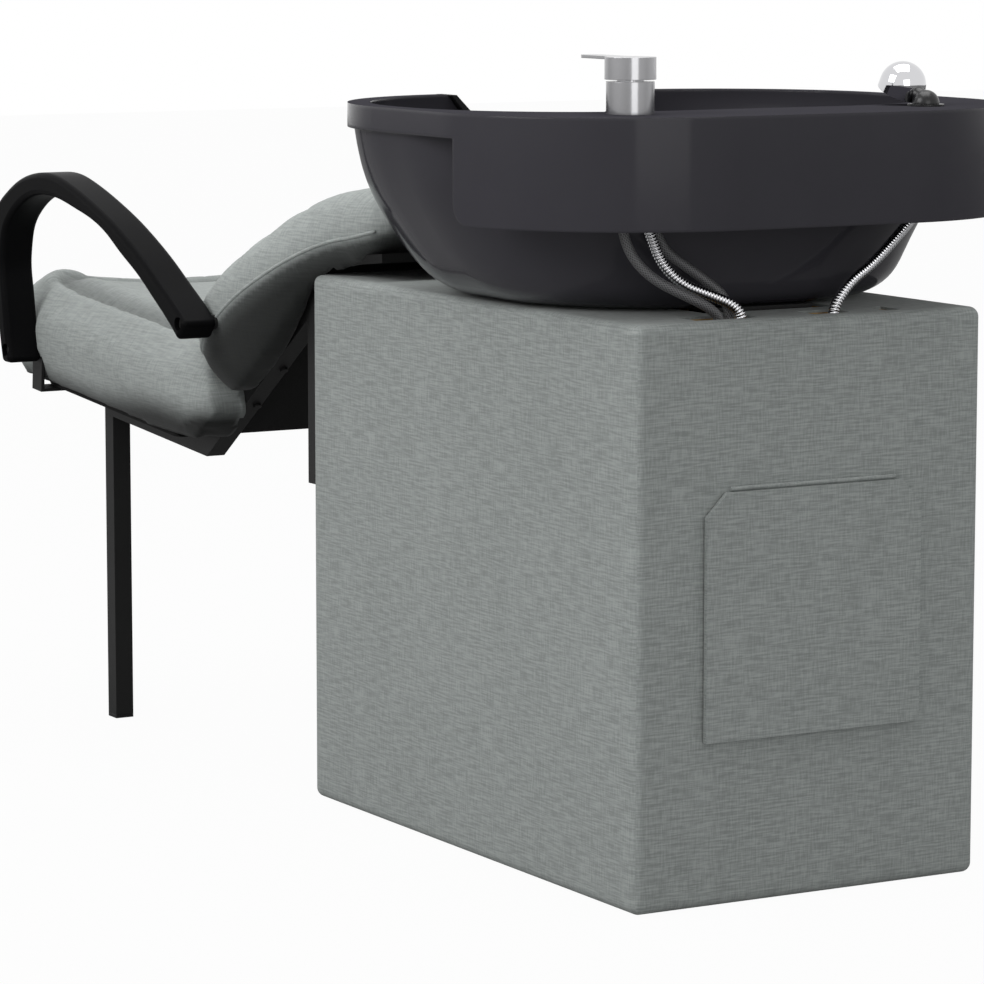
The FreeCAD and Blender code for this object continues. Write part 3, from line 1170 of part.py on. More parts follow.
def back_station(share):
    """Place and slope of the spine at a share of its length; the knee is spread over a curve."""
    bend, knee, end = back_spine()
    foot = bend + along(BACK_ANGLE, D.back_start)
    first, second = (knee - foot).Length, (end - knee).Length
    upper_angle = math.atan2(end.z - knee.z, end.y - knee.y)
    distance = share * (first + second)
    reach = second / 2
    if distance <= first - reach:
        return foot + along(BACK_ANGLE, distance), BACK_ANGLE
    if distance >= first + reach:
        return knee + along(upper_angle, distance - first), upper_angle
    part_share = (distance - first + reach) / (2 * reach)
    start, finish = knee - along(BACK_ANGLE, reach), knee + along(upper_angle, reach)
    one, two = start + (knee - start) * part_share, knee + (finish - knee) * part_share
    angle = BACK_ANGLE + (upper_angle - BACK_ANGLE) * part_share
    return one + (two - one) * part_share, angle


def back_section(share, width_share, low_share, high_share):
    """A closed section of the back cushion across its spine."""
    place, angle = back_station(share)
    base = D.under_cover_thickness + D.back_board_thickness + D.soft_gap
    low = base + low_share * D.back_thickness
    tall = high_share * D.back_thickness - (low - base)
    frame = Placement(place, Rotation(X_AXIS, math.degrees(angle)))

    def spot(name, side=1):
        half, height = BACK_SECTION_SHARES[name]
        return Vector(side * half * width_share * D.back_half_width, 0, low + height * tall)
    edges = [
        Part.makeLine(spot("foot", -1), spot("foot")),
        Part.Arc(spot("foot"), spot("flank"), spot("seam")).toShape(),
        Part.Arc(spot("seam"), spot("belly"), spot("crease")).toShape(),
        Part.Arc(spot("crease"), spot("dip"), spot("crease", -1)).toShape(),
        Part.Arc(spot("crease", -1), spot("belly", -1), spot("seam", -1)).toShape(),
        Part.Arc(spot("seam", -1), spot("flank", -1), spot("foot", -1)).toShape(),
    ]
    return placed(Part.Wire(edges), frame)


def make_back(screw_holes):
    """Bent plywood board, black cloth behind it, and the cushion with pockets for the arm plates."""
    cloth, board = D.under_cover_thickness, D.back_board_thickness
    half = D.back_board_half
    cover = outline_prism(spine_layer(cloth, 0, cloth), -half, half).cut(screw_holes)
    formed("BackCover", cover, "back_rear_cover")
    plate = outline_prism(spine_layer(D.back_start + board, cloth, cloth + board), -half, half)
    formed("BackBoard", plate.cut(screw_holes), "back_board")
    cushion = Part.makeLoft([back_section(*row) for row in BACK_SHARES], True)
    under = spine_layer(0, -D.back_thickness, cloth + board + D.soft_gap)
    cushion = cushion.cut(outline_prism(under, -D.basin_width, D.basin_width))
    pockets = []
    place = BACK_FRAME.inverse().multVec(arm_point(*ARM_SCREW_SHARES[1]))
    gap = D.soft_gap
    half_plate = D.arm_plate_width / 2
    for side in (-1, 1):
        start, end = sorted((side * (D.frame_half_width - D.arm_plate - gap),
                             side * (D.frame_half_width + gap)))
        pockets.append(block_shape(start, end, place.y - half_plate - gap, place.y + half_plate + gap,
                                   -D.overrun, place.z + half_plate + gap))
        start, end = sorted((side * (D.frame_half_width - D.arm_plate), side * D.arm_inner))
        pockets.append(Part.makeCylinder(D.arm_spacer_radius + gap, end - start,
                                         Vector(start, place.y, place.z), X_AXIS))
    cushion = cushion.cut(placed(Part.makeCompound(pockets), BACK_FRAME))
    formed("BackCushion", max(cushion.Solids, key=lambda solid: solid.Volume), "back_cushion")


# Armrests

# Outlines of the armrest from its front end round to its rear end, as shares of its length and
# height; the inner one runs back again
ARM_OUTER_SHARES = [
    (0.039, 0), (0.019, 0.178), (0.004, 0.517), (0.019, 0.8), (0.066, 0.874), (0.134, 0.943),
    (0.246, 0.996), (0.328, 0.996), (0.401, 0.965), (0.473, 0.922), (0.548, 0.87), (0.626, 0.809),
    (0.719, 0.722), (0.804, 0.63), (0.878, 0.539), (0.961, 0.435), (1, 0.374),
]
ARM_INNER_SHARES = [
    (0.965, 0.287), (0.928, 0.348), (0.843, 0.465), (0.758, 0.574), (0.672, 0.665), (0.62, 0.726),
    (0.512, 0.809), (0.438, 0.843), (0.351, 0.878), (0.279, 0.887), (0.213, 0.874), (0.103, 0.77),
    (0.062, 0.683), (0.047, 0.591), (0.041, 0.5), (0.052, 0.357), (0.062, 0.204), (0.074, 0.078),
    (0.085, 0),
]
ARM_SCREW_SHARES = [(0.058, 0.065), (0.969, 0.37)]


def arm_point(along_share, height_share):
    """A point of the armrest in the side view."""
    return side_point(along_share * D.arm_length - D.arm_front, D.arm_low + height_share * D.arm_height)


def arm_curve(shares):
    """A smooth edge through points of the armrest."""
    curve = Part.BSplineCurve()
    curve.interpolate([arm_point(*row) + X_AXIS * D.arm_inner for row in shares])
    return curve.toShape()


def mirrored(shapes):
    """The shapes with their mirror images on the other side."""
    return [*shapes, *(shape.mirror(Vector(), X_AXIS) for shape in shapes)]


def arm_plate_shape(room=0.0):
    """The front armrest plates: upright beside the seat, with a strap under it."""
    place = SEAT_FRAME.inverse().multVec(arm_point(*ARM_SCREW_SHARES[0]))
    half = D.arm_plate_width / 2
    inner, outer, thick = D.arm_inner - D.arm_plate, D.arm_inner, D.arm_plate
    upright_part = block_shape(inner - room, outer, place.y - half - room, place.y + half + room, -thick,
                               place.z + half + room)
    strap = block_shape(outer - D.arm_strap_length, outer, place.y - half, place.y + half, -thick, 0)
    shape = placed(upright_part.fuse(strap).removeSplitter(), SEAT_FRAME)
    return Part.makeCompound(mirrored([shape]))


def make_arms():
    """Moulded loop armrests, the plates that carry them, and their screws."""
    ends = [arm_point(*row) + X_AXIS * D.arm_inner for row in (
        ARM_OUTER_SHARES[-1], ARM_INNER_SHARES[0], ARM_INNER_SHARES[-1], ARM_OUTER_SHARES[0])]
    wire = Part.Wire([arm_curve(ARM_OUTER_SHARES), Part.makeLine(*ends[:2]), arm_curve(ARM_INNER_SHARES),
                      Part.makeLine(*ends[2:])])
    loop = prism(wire, X_AXIS * D.arm_width)
    loop = loop.makeFillet(D.arm_edge, loop.Edges)
    spots = [arm_point(*row) for row in ARM_SCREW_SHARES]
    outer_face = D.arm_inner + D.arm_width
    head_face = outer_face - D.arm_head_sink
    reaches = (D.arm_screw_front_reach, D.arm_screw_rear_reach)
    screws = []
    for spot, reach in zip(spots, reaches):
        hole = Part.makeCylinder(D.arm_screw_radius + D.fit_gap, D.arm_width,
                                 spot + X_AXIS * D.arm_inner, X_AXIS)
        sink = Part.makeCylinder(D.arm_screw_head + D.deck_hole_gap, D.arm_width,
                                 spot + X_AXIS * (head_face - D.arm_head_height), X_AXIS)
        loop = loop.cut(hole).cut(sink)
        inside = head_face - D.arm_head_height
        shank = Part.makeCylinder(D.arm_screw_radius, reach, spot + X_AXIS * (inside - reach), X_AXIS)
        head = Part.makeCylinder(D.arm_screw_head, D.arm_head_height, spot + X_AXIS * inside, X_AXIS)
        screws.append(shank.fuse(head).removeSplitter())
    formed("ArmrestLeft", loop.removeSplitter(), "armrest_left")
    formed("ArmrestRight", loop.mirror(Vector(), X_AXIS).removeSplitter(), "armrest_right")
    formed("ArmScrews", Part.makeCompound(mirrored(screws)), "arm_screws")
    hole_radius = D.arm_screw_radius + D.fit_gap
    front_hole = Part.makeCylinder(hole_radius, 2 * D.arm_inner, spots[0] - X_AXIS * D.arm_inner, X_AXIS)
    straps = arm_plate_shape().cut(front_hole)
    straps = straps.cut(strap_screw_shapes(D.board_screw_radius + D.fit_gap))
    formed("ArmBracketsFront", straps, "arm_brackets_front")
    place = BACK_FRAME.inverse().multVec(spots[1])
    half = D.arm_plate_width / 2
    plate_inner = D.frame_half_width - D.arm_plate
    plate = placed(block_shape(plate_inner, D.frame_half_width, place.y - half, place.y + half, 0,
                               place.z + half), BACK_FRAME)
    bush = Part.makeCylinder(D.arm_spacer_radius, D.arm_inner - D.frame_half_width,
                             spots[1] + X_AXIS * D.frame_half_width, X_AXIS)
    rear_hole = Part.makeCylinder(hole_radius, D.arm_inner, spots[1] + X_AXIS * plate_inner, X_AXIS)
    rear = plate.fuse(bush).cut(rear_hole).removeSplitter()
    formed("ArmBracketsRear", Part.makeCompound(mirrored([rear])), "arm_brackets_rear")


def strap_screw_shapes(radius, length=None):
    """Rods up through the straps of the front armrest plates, or down from them if negative."""
    place = SEAT_FRAME.inverse().multVec(arm_point(*ARM_SCREW_SHARES[0]))
    up = SEAT_FRAME.Rotation.multVec(Z_AXIS)
    x = D.arm_inner - D.arm_strap_length + D.arm_plate_width / 2
    start = SEAT_FRAME.multVec(Vector(x, place.y, -D.arm_plate))
    if length is None:
        start, length = start - up * D.overrun, 2 * D.tube
    if length < 0:
        start, length = start + up * length, -length
    return Part.makeCompound(mirrored([screw_shape(start, up, radius, length)]))


# Hoses

# Points of each hose as shares between two named corners, across, along and up
SHOWER_DOWN_SHARES = [
    (0.881, 0.193, 0.515), (0.786, 0.217, 0.402), (0.667, 0.265, 0.273), (0.417, 0.361, 0.165),
    (0.071, 0.53, 0.108), (-0.202, 0.675, 0.057), (-0.304, 0.711, -0.015),
]
SHOWER_LOOP_SHARES = [
    (0.758, 0.627, 0.915), (0.8, 0.506, 0.827), (0.8, 0.361, 0.739), (0.683, 0.265, 0.665),
    (0.45, 0.217, 0.625), (0.2, 0.217, 0.63), (0.017, 0.265, 0.678), (-0.067, 0.361, 0.757),
    (-0.1, 0.506, 0.845), (-0.083, 0.675, 0.933),
]
SHOWER_UP_SHARES = [
    (0.059, 0.771, -0.041), (0.059, 0.747, 0.021), (0.221, 0.651, 0.144), (0.456, 0.506, 0.227),
    (0.779, 0.313, 0.407), (0.89, 0.169, 0.464), (0.971, 0.048, 0.526),
]
OUTER_SUPPLY_SHARES = [
    (1.12, 0.024, 0.454), (1.02, 0.12, 0.309), (0.798, 0.361, 0.196), (0.476, 0.578, 0.122),
    (0.179, 0.711, 0.06), (0, 0.735, -0.005),
]
INNER_SUPPLY_SHARES = [
    (0.714, -0.12, 0.495), (0.595, -0.096, 0.397), (0.5, -0.072, 0.32), (0.238, 0, 0.242),
    (0, 0.096, 0.17), (-0.179, 0.277, 0.1), (-0.226, 0.398, -0.005),
]
OUTER_INSIDE_SHARES = [(0.983, 0.699, 0.917), (1.07, 0.795, 0.786), (1.32, 0.831, 0.633)]
INNER_INSIDE_SHARES = [(0.842, 0.41, 0.917), (0.908, 0.602, 0.764), (1.12, 0.795, 0.611)]
# From a clip, at share 0, to the nut, at share 1
DROP_SHARES = [(0, 0.831, 0.48), (0, 0.831, 0.197), (0.5, 0.627, 0.12), (1, 0.554, 0.05), (1, 0.554, 0.0)]
WASTE_SHARES = [
    (0, 0, 1), (0, 0, 0.868), (0, 0.101, 0.734), (0, 0.304, 0.578), (0, 0.608, 0.421),
    (0, 0.873, 0.265), (0, 1, 0.131), (0, 1, 0),
]
# Clips and nuts of the two supply hoses, at these shares of the inner half width
CLIP_SHARES = (0.806, 0.656)
NUT_SHARES = (0.689, 0.539)
CLIP_HEIGHT_SHARE = 0.44


def between(near, far, shares):
    """Points at shares between two corners."""
    return [Vector(*(start + (end - start) * share for start, end, share in zip(near, far, row)))
            for row in shares]


def ring_point(turn, height):
    """A hose place on the lower end of the mixer shank, by its angle."""
    angle = math.radians(turn)
    return Vector(D.fitting_spread + D.hose_ring * math.cos(angle),
                  D.fitting_y + D.hose_ring * math.sin(angle), height)


def steady_circle(point, direction, radius):
    """A circle across a direction, its seam always towards the rear."""
    circle = Part.Wire([Part.makeCircle(radius)])
    side = Y_AXIS - direction * direction.dot(Y_AXIS)
    circle.Placement = Placement(point, Rotation(side, Vector(), direction, "ZXY"))
    return circle


def route_spot(route, distance):
    """Point and direction at a distance along a route."""
    edges = route.OrderedEdges
    for edge in edges:
        if distance <= edge.Length or edge is edges[-1]:
            break
        distance -= edge.Length
    amount = edge.getParameterByLength(min(max(distance, 0.0), edge.Length))
    return edge.valueAt(amount), edge.tangentAt(amount)


def make_shower_hose():
    """Ribbed hose from the mixer through the cabinet and up to the hand shower."""
    shank_low, top = D.rim_height - D.shank_length, D.cabinet_top
    turn = 90
    radius = D.shower_hose_radius
    middle_left = -D.shower_slot_middle
    points = [ring_point(turn, shank_low), ring_point(turn, shank_low - 5 * radius)]
    points += between((D.hose_slot_middle, D.fitting_y, top), (D.fitting_spread, D.inner_rear, D.rim_height),
                      SHOWER_DOWN_SHARES)
    points += between((middle_left, D.fitting_y, 0), (D.hose_slot_middle, D.inner_rear, top),
                      SHOWER_LOOP_SHARES)
    points += between((middle_left, D.fitting_y, top), (-D.fitting_spread, D.inner_rear, D.rim_height),
                      SHOWER_UP_SHARES)
    end = Vector(-D.fitting_spread, D.fitting_y, D.hose_start_z)
    points += [end - Z_AXIS * (2.4 * radius), end]
    route, radii = rounded_route(points)
    pitch, length = D.rib_pitch, route.Length
    count = int(length / pitch)
    heights = [route_spot(route, place * pitch)[0].z for place in range(count + 1)]
    hidden = [place for place, height in enumerate(heights) if height < D.inner_top]
    profile = [(0.0, 1), (0.2, 0), (0.55, 0), (0.75, 1)]
    sections = []
    for place in range(count):
        if hidden[0] <= place <= hidden[-1]:
            sections.append((place * pitch, 0))
            continue
        sections += [((place + share) * pitch, deep) for share, deep in profile]
    sections.append((length, 1))
    wires = []
    for distance, deep in sections:
        point, direction = route_spot(route, distance)
        wires.append(steady_circle(point, direction, radius - deep * D.shower_hose_groove))
    solid = Part.makeLoft(wires, True, True)
    bore = [steady_circle(*route_spot(route, min(place * 2 * pitch, length)), D.shower_hose_bore)
            for place in range(int(length / pitch / 2) + 2)]
    solid = solid.cut(Part.makeLoft(bore, True, True))
    expected = math.pi * length * (radius ** 2 - D.shower_hose_bore ** 2)
    print("shower_hose radii", radii, "length", round(length, 1), "ribs", count - hidden[-1] + hidden[0],
          "volume ratio", round(solid.Volume / expected, 4))
    formed("ShowerHose", solid, "shower_hose")


def supply_points(turn, shares, inside_shares, clip_x, nut_x):
    """Route of a braided hose from the mixer past its clip down to its nut."""
    shank_low, top, radius = D.rim_height - D.shank_length, D.cabinet_top, D.supply_hose_radius
    points = [ring_point(turn, shank_low), ring_point(turn, shank_low - 6 * radius)]
    points += between((D.hose_slot_middle, D.fitting_y, top), (D.fitting_spread, D.inner_rear, D.rim_height),
                      shares)
    near, far = (-D.shower_slot_middle, D.fitting_y, D.nut_height), (D.hose_slot_middle, D.inner_rear, top)
    points += between(near, far, inside_shares)
    near, far = (clip_x, D.fitting_y, D.nut_height), (nut_x, D.inner_rear, top)
    points += between(near, far, DROP_SHARES)
    return points


def supply_nut(centre):
    """A six-sided nut hanging below a point, open at its lower end."""
    corners = [centre + Vector(D.nut_radius * math.cos(math.radians(turn)),
                               D.nut_radius * math.sin(math.radians(turn)), -D.nut_length)
               for turn in range(0, 360, 60)]
    body = prism(Part.makePolygon(corners + corners[:1]), Z_AXIS * D.nut_length)
    low = centre.z - D.nut_length
    return body.cut(upright(centre.x, centre.y, low - D.overrun, low + D.nut_bore_depth, D.nut_bore))


def hose_clip(x, y, z):
    """A clip on the back panel round a hose."""
    half = D.supply_hose_radius + D.soft_gap + D.clip_wall
    solid = block_shape(x - half, x + half, y - half, D.inner_rear, z, z + D.clip_width)
    return solid.cut(upright(x, y, z - D.overrun, z + D.clip_width + D.overrun,
                             D.supply_hose_radius + D.soft_gap))


def make_hoses():
    """All hoses with the waste coupling, the nuts at the supply ends, and the clips."""
    make_shower_hose()
    rows = [("supply_hose_hot", -30, OUTER_SUPPLY_SHARES, OUTER_INSIDE_SHARES),
            ("supply_hose_cold", 210, INNER_SUPPLY_SHARES, INNER_INSIDE_SHARES)]
    nuts, clips = [], []
    held_y = D.fitting_y + DROP_SHARES[0][1] * (D.inner_rear - D.fitting_y)
    for place, (label, turn, shares, inside_shares) in enumerate(rows):
        clip_x = CLIP_SHARES[place] * D.inner_half
        points = supply_points(turn, shares, inside_shares, clip_x, NUT_SHARES[place] * D.inner_half)
        formed(label.title().replace("_", ""), hose(label, points, D.supply_hose_radius), label)
        nuts.append(supply_nut(points[-1]))
        clips.append(hose_clip(clip_x, held_y, CLIP_HEIGHT_SHARE * D.cabinet_top))
    formed("HoseEndNuts", Part.makeCompound(nuts), "hose_end_nuts")
    formed("HoseClips", Part.makeCompound(clips), "hose_clips")
    socket_top = D.carcass_low + D.outlet_length
    points = between((0, D.drain_y, socket_top), (1, D.outlet_y, D.bowl_low - D.tail_length), WASTE_SHARES)
    formed("WasteHose", hose("waste_hose", points, D.waste_hose_radius), "waste_hose")
    y, low = D.outlet_y, D.carcass_low
    pipe = ring(0, y, low, socket_top, D.outlet_radius, D.waste_hose_radius - D.waste_wall)
    collar = ring(0, y, D.inner_low, D.inner_low + D.plate_thickness, D.flange_radius, D.outlet_radius / 2)
    bore = upright(0, y, low - D.overrun, low + D.outlet_bore_depth, D.outlet_bore)
    throat = upright(0, y, low, socket_top, D.waste_hose_radius - D.waste_wall)
    coupling = pipe.fuse(collar).cut(Part.makeCompound([bore, throat])).removeSplitter()
    formed("WasteCoupling", coupling, "waste_coupling")


make_cabinet()
make_flap()
make_basin()
make_tilt()
make_mixer()
make_hand_shower()
make_frame()
BOARD_HOLES = make_board_screws()
make_seat(BOARD_HOLES)
make_back(BOARD_HOLES)
make_arms()
make_hoses()
doc.recompute()

for item in doc.Objects:
    if {"Invalid", "Error"} & set(item.State):
        raise RuntimeError(f"{item.Label} is {item.State}")
for item in PARTS:
    if item.Shape.isNull() or not item.Shape.isValid() or not item.Shape.Solids:
        raise RuntimeError(f"{item.Label} is not a sound solid")

os.makedirs("parts", exist_ok=True)
for item in PARTS:
    item.Shape.exportStep(f"parts/{item.Label}.step")
    print(item.Label, len(item.Shape.Solids), round(item.Shape.Volume / 1000, 1))
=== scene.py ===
"""Shampoo chair: upholstered seat on a tube frame, fabric cabinet, tilting basin and mixer."""
import logging
import math
from dataclasses import dataclass, field
from enum import Enum

import bpy
import numpy as np
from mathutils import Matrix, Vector
from mathutils.bvhtree import BVHTree

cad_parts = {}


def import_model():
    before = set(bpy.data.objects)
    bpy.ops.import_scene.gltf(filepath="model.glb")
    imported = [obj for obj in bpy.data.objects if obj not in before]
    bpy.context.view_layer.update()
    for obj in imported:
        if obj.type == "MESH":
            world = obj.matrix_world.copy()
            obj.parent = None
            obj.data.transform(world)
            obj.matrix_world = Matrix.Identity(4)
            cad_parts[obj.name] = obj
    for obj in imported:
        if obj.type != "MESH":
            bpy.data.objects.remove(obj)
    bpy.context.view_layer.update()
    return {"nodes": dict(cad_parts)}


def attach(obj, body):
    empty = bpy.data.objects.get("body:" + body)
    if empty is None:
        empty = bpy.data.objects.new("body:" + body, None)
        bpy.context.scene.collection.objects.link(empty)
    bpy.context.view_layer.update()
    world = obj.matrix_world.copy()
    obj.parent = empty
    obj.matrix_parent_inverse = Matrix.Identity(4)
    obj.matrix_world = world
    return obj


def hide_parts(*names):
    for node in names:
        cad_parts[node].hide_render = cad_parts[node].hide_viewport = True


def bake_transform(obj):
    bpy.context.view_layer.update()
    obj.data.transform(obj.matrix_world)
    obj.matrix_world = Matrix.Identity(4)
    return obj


LOG = logging.getLogger("shampoo_chair")
MM = 0.001
PAD_MESH = 5 * MM
PAD_MOVE = 4 * MM


def tone(code: str) -> tuple[float, float, float, float]:
    """Turns an sRGB hex value into a linear colour.

    Args:
        code: six hex digits, such as "8c8f8c".

    Returns:
        Linear red, green, blue and an alpha of one.
    """
    shares = [int(code[place:place + 2], 16) / 255 for place in (0, 2, 4)]
    linear = [share / 12.92 if share <= 0.04045 else ((share + 0.055) / 1.055) ** 2.4 for share in shares]
    return (*linear, 1.0)


def add(tree: bpy.types.NodeTree, kind: str, links: dict | None = None, **settings: object) -> bpy.types.Node:
    """Adds one node to a tree.

    Args:
        tree: the tree of the material or world.
        kind: the node's type name.
        links: socket name or number to a value, or to an output socket to link from.
        settings: properties of the node.

    Returns:
        The new node.
    """
    made = tree.nodes.new(kind)
    for name, value in settings.items():
        setattr(made, name, value)
    for socket, value in (links or {}).items():
        target = made.inputs[socket]
        if isinstance(value, bpy.types.NodeSocket):
            tree.links.new(value, target)
        else:
            target.default_value = value
    return made


class Weave(Enum):
    """How a cloth pattern finds its threads on a piece."""

    BOX = "box"
    ROUND = "round"


@dataclass(frozen=True)
class Finish:
    """A named finish whose make method fills in one material.

    Attributes:
        name: the material and how its surface was made.
    """

    name: str

    def start(self) -> tuple[bpy.types.Material, bpy.types.NodeTree, bpy.types.Node]:
        """Starts an empty material.

        Returns:
            The material, its tree and its surface shader, already linked to the output.
        """
        material = bpy.data.materials.new(self.name)
        material.use_nodes = True
        tree = material.node_tree
        tree.nodes.clear()
        shader = add(tree, "ShaderNodeBsdfPrincipled")
        add(tree, "ShaderNodeOutputMaterial", {"Surface": shader.outputs[0]})
        return material, tree, shader

    def make(self) -> bpy.types.Material:
        """Makes the material."""
        raise NotImplementedError


@dataclass(frozen=True)
class WovenCloth(Finish):
    """Slubbed linen-look upholstery cloth: matt, with uneven threads both ways.

    Attributes:
        light: colour of the raised, pale threads.
        dark: colour between the threads.
        weave: how threads are laid on the piece.
        thread: distance of threads in metres, drawn about twice as coarse as real to show.
        painted_shade_tone: colour of painted shade, reached where the piece's own dim attribute is one.
    """

    light: str
    dark: str
    weave: Weave
    thread: float = 0.0019
    painted_shade_tone: str = "090b0a"

    def threads(self, tree: bpy.types.NodeTree, across: bpy.types.NodeSocket,
                up: bpy.types.NodeSocket) -> bpy.types.NodeSocket:
        """Lays long uneven streaks along both thread directions.

        Args:
            tree: the material's tree.
            across: coordinate along the weft.
            up: coordinate along the warp.

        Returns:
            A value about 0.5 that swings with the threads.
        """
        # A slub runs for about fourteen threads, and the weft shows more than the warp
        fine, long_run = 1 / self.thread, 0.07 / self.thread
        total = None
        for scales, share in (((long_run, fine), 0.62), ((fine, long_run * 1.5), 0.38)):
            place = add(tree, "ShaderNodeCombineXYZ", {0: across, 1: up})
            scaled = add(tree, "ShaderNodeVectorMath", {0: place.outputs[0], 1: (*scales, 1.0)},
                         operation="MULTIPLY")
            noise = add(tree, "ShaderNodeTexNoise", {"Vector": scaled.outputs[0], "Scale": 1.0, "Detail": 2.0,
                                                     "Roughness": 0.6}, noise_dimensions="2D")
            part = add(tree, "ShaderNodeMath", {0: noise.outputs[0], 1: share}, operation="MULTIPLY")
            total = part.outputs[0] if total is None else add(
                tree, "ShaderNodeMath", {0: total, 1: part.outputs[0]}, operation="ADD").outputs[0]
        return total

    def pattern(self, tree: bpy.types.NodeTree) -> bpy.types.NodeSocket:
        """Blends the threads of the three coordinate planes by the way the surface faces.

        Each plane weighs as much as a high power of the normal's share along its axis: a board's
        edges change over sharply, a cushion's curves softly.

        Args:
            tree: the material's tree.

        Returns:
            A value about 0.5 that swings with the threads.
        """
        point = add(tree, "ShaderNodeSeparateXYZ",
                    {0: add(tree, "ShaderNodeTexCoord").outputs["Object"]}).outputs
        facing = add(tree, "ShaderNodeVectorMath",
                     {0: add(tree, "ShaderNodeNewGeometry").outputs["Normal"]}, operation="ABSOLUTE")
        ways = add(tree, "ShaderNodeSeparateXYZ", {0: facing.outputs[0]}).outputs
        sharpness = 24.0 if self.weave is Weave.BOX else 7.0
        weights = [add(tree, "ShaderNodeMath", {0: way, 1: sharpness}, operation="POWER").outputs[0]
                   for way in ways]
        planes = [self.threads(tree, point[1], point[2]), self.threads(tree, point[0], point[2]),
                  self.threads(tree, point[0], point[1])]
        total, share = None, None
        for weight, plane in zip(weights, planes):
            part = add(tree, "ShaderNodeMath", {0: weight, 1: plane}, operation="MULTIPLY").outputs[0]
            total = part if total is None else add(
                tree, "ShaderNodeMath", {0: total, 1: part}, operation="ADD").outputs[0]
            share = weight if share is None else add(
                tree, "ShaderNodeMath", {0: share, 1: weight}, operation="ADD").outputs[0]
        return add(tree, "ShaderNodeMath", {0: total, 1: share}, operation="DIVIDE").outputs[0]

    def make(self) -> bpy.types.Material:
        """Makes the cloth: thread colour, cloudy unevenness, thread relief and painted shade where the
        piece's dim attribute rises.
        """
        material, tree, shader = self.start()
        threads = self.pattern(tree)
        spread = add(tree, "ShaderNodeMapRange", {"Value": threads, "From Min": 0.36, "From Max": 0.64})
        point = add(tree, "ShaderNodeTexCoord").outputs["Object"]
        clouds = add(tree, "ShaderNodeTexNoise", {"Vector": point, "Scale": 9.0, "Detail": 3.0})
        uneven = add(tree, "ShaderNodeMapRange", {"Value": clouds.outputs[0], "From Min": 0.3,
                                                  "From Max": 0.7, "To Min": -0.07, "To Max": 0.07})
        shade = add(tree, "ShaderNodeMath", {0: spread.outputs[0], 1: uneven.outputs[0]}, operation="ADD",
                    use_clamp=True)
        colour = add(tree, "ShaderNodeMix", {0: shade.outputs[0], 6: tone(self.dark), 7: tone(self.light)},
                     data_type="RGBA")
        relief = add(tree, "ShaderNodeBump", {"Height": threads, "Strength": 0.35, "Distance": 0.0006})
        # Painted shade: the colour goes over to a near-black tone as the piece's dim attribute rises
        painted_shade = add(tree, "ShaderNodeAttribute", attribute_name="dim").outputs["Fac"]
        colour = add(tree, "ShaderNodeMix", {0: painted_shade, 6: colour.outputs[2], 7: tone(self.painted_shade_tone)},
                     data_type="RGBA")
        tree.links.new(colour.outputs[2], shader.inputs["Base Color"])
        tree.links.new(relief.outputs[0], shader.inputs["Normal"])
        shader.inputs["Roughness"].default_value = 0.9
        shader.inputs["Specular IOR Level"].default_value = 0.3
        shader.inputs["Sheen Weight"].default_value = 0.08
        shader.inputs["Sheen Roughness"].default_value = 0.5
        return material


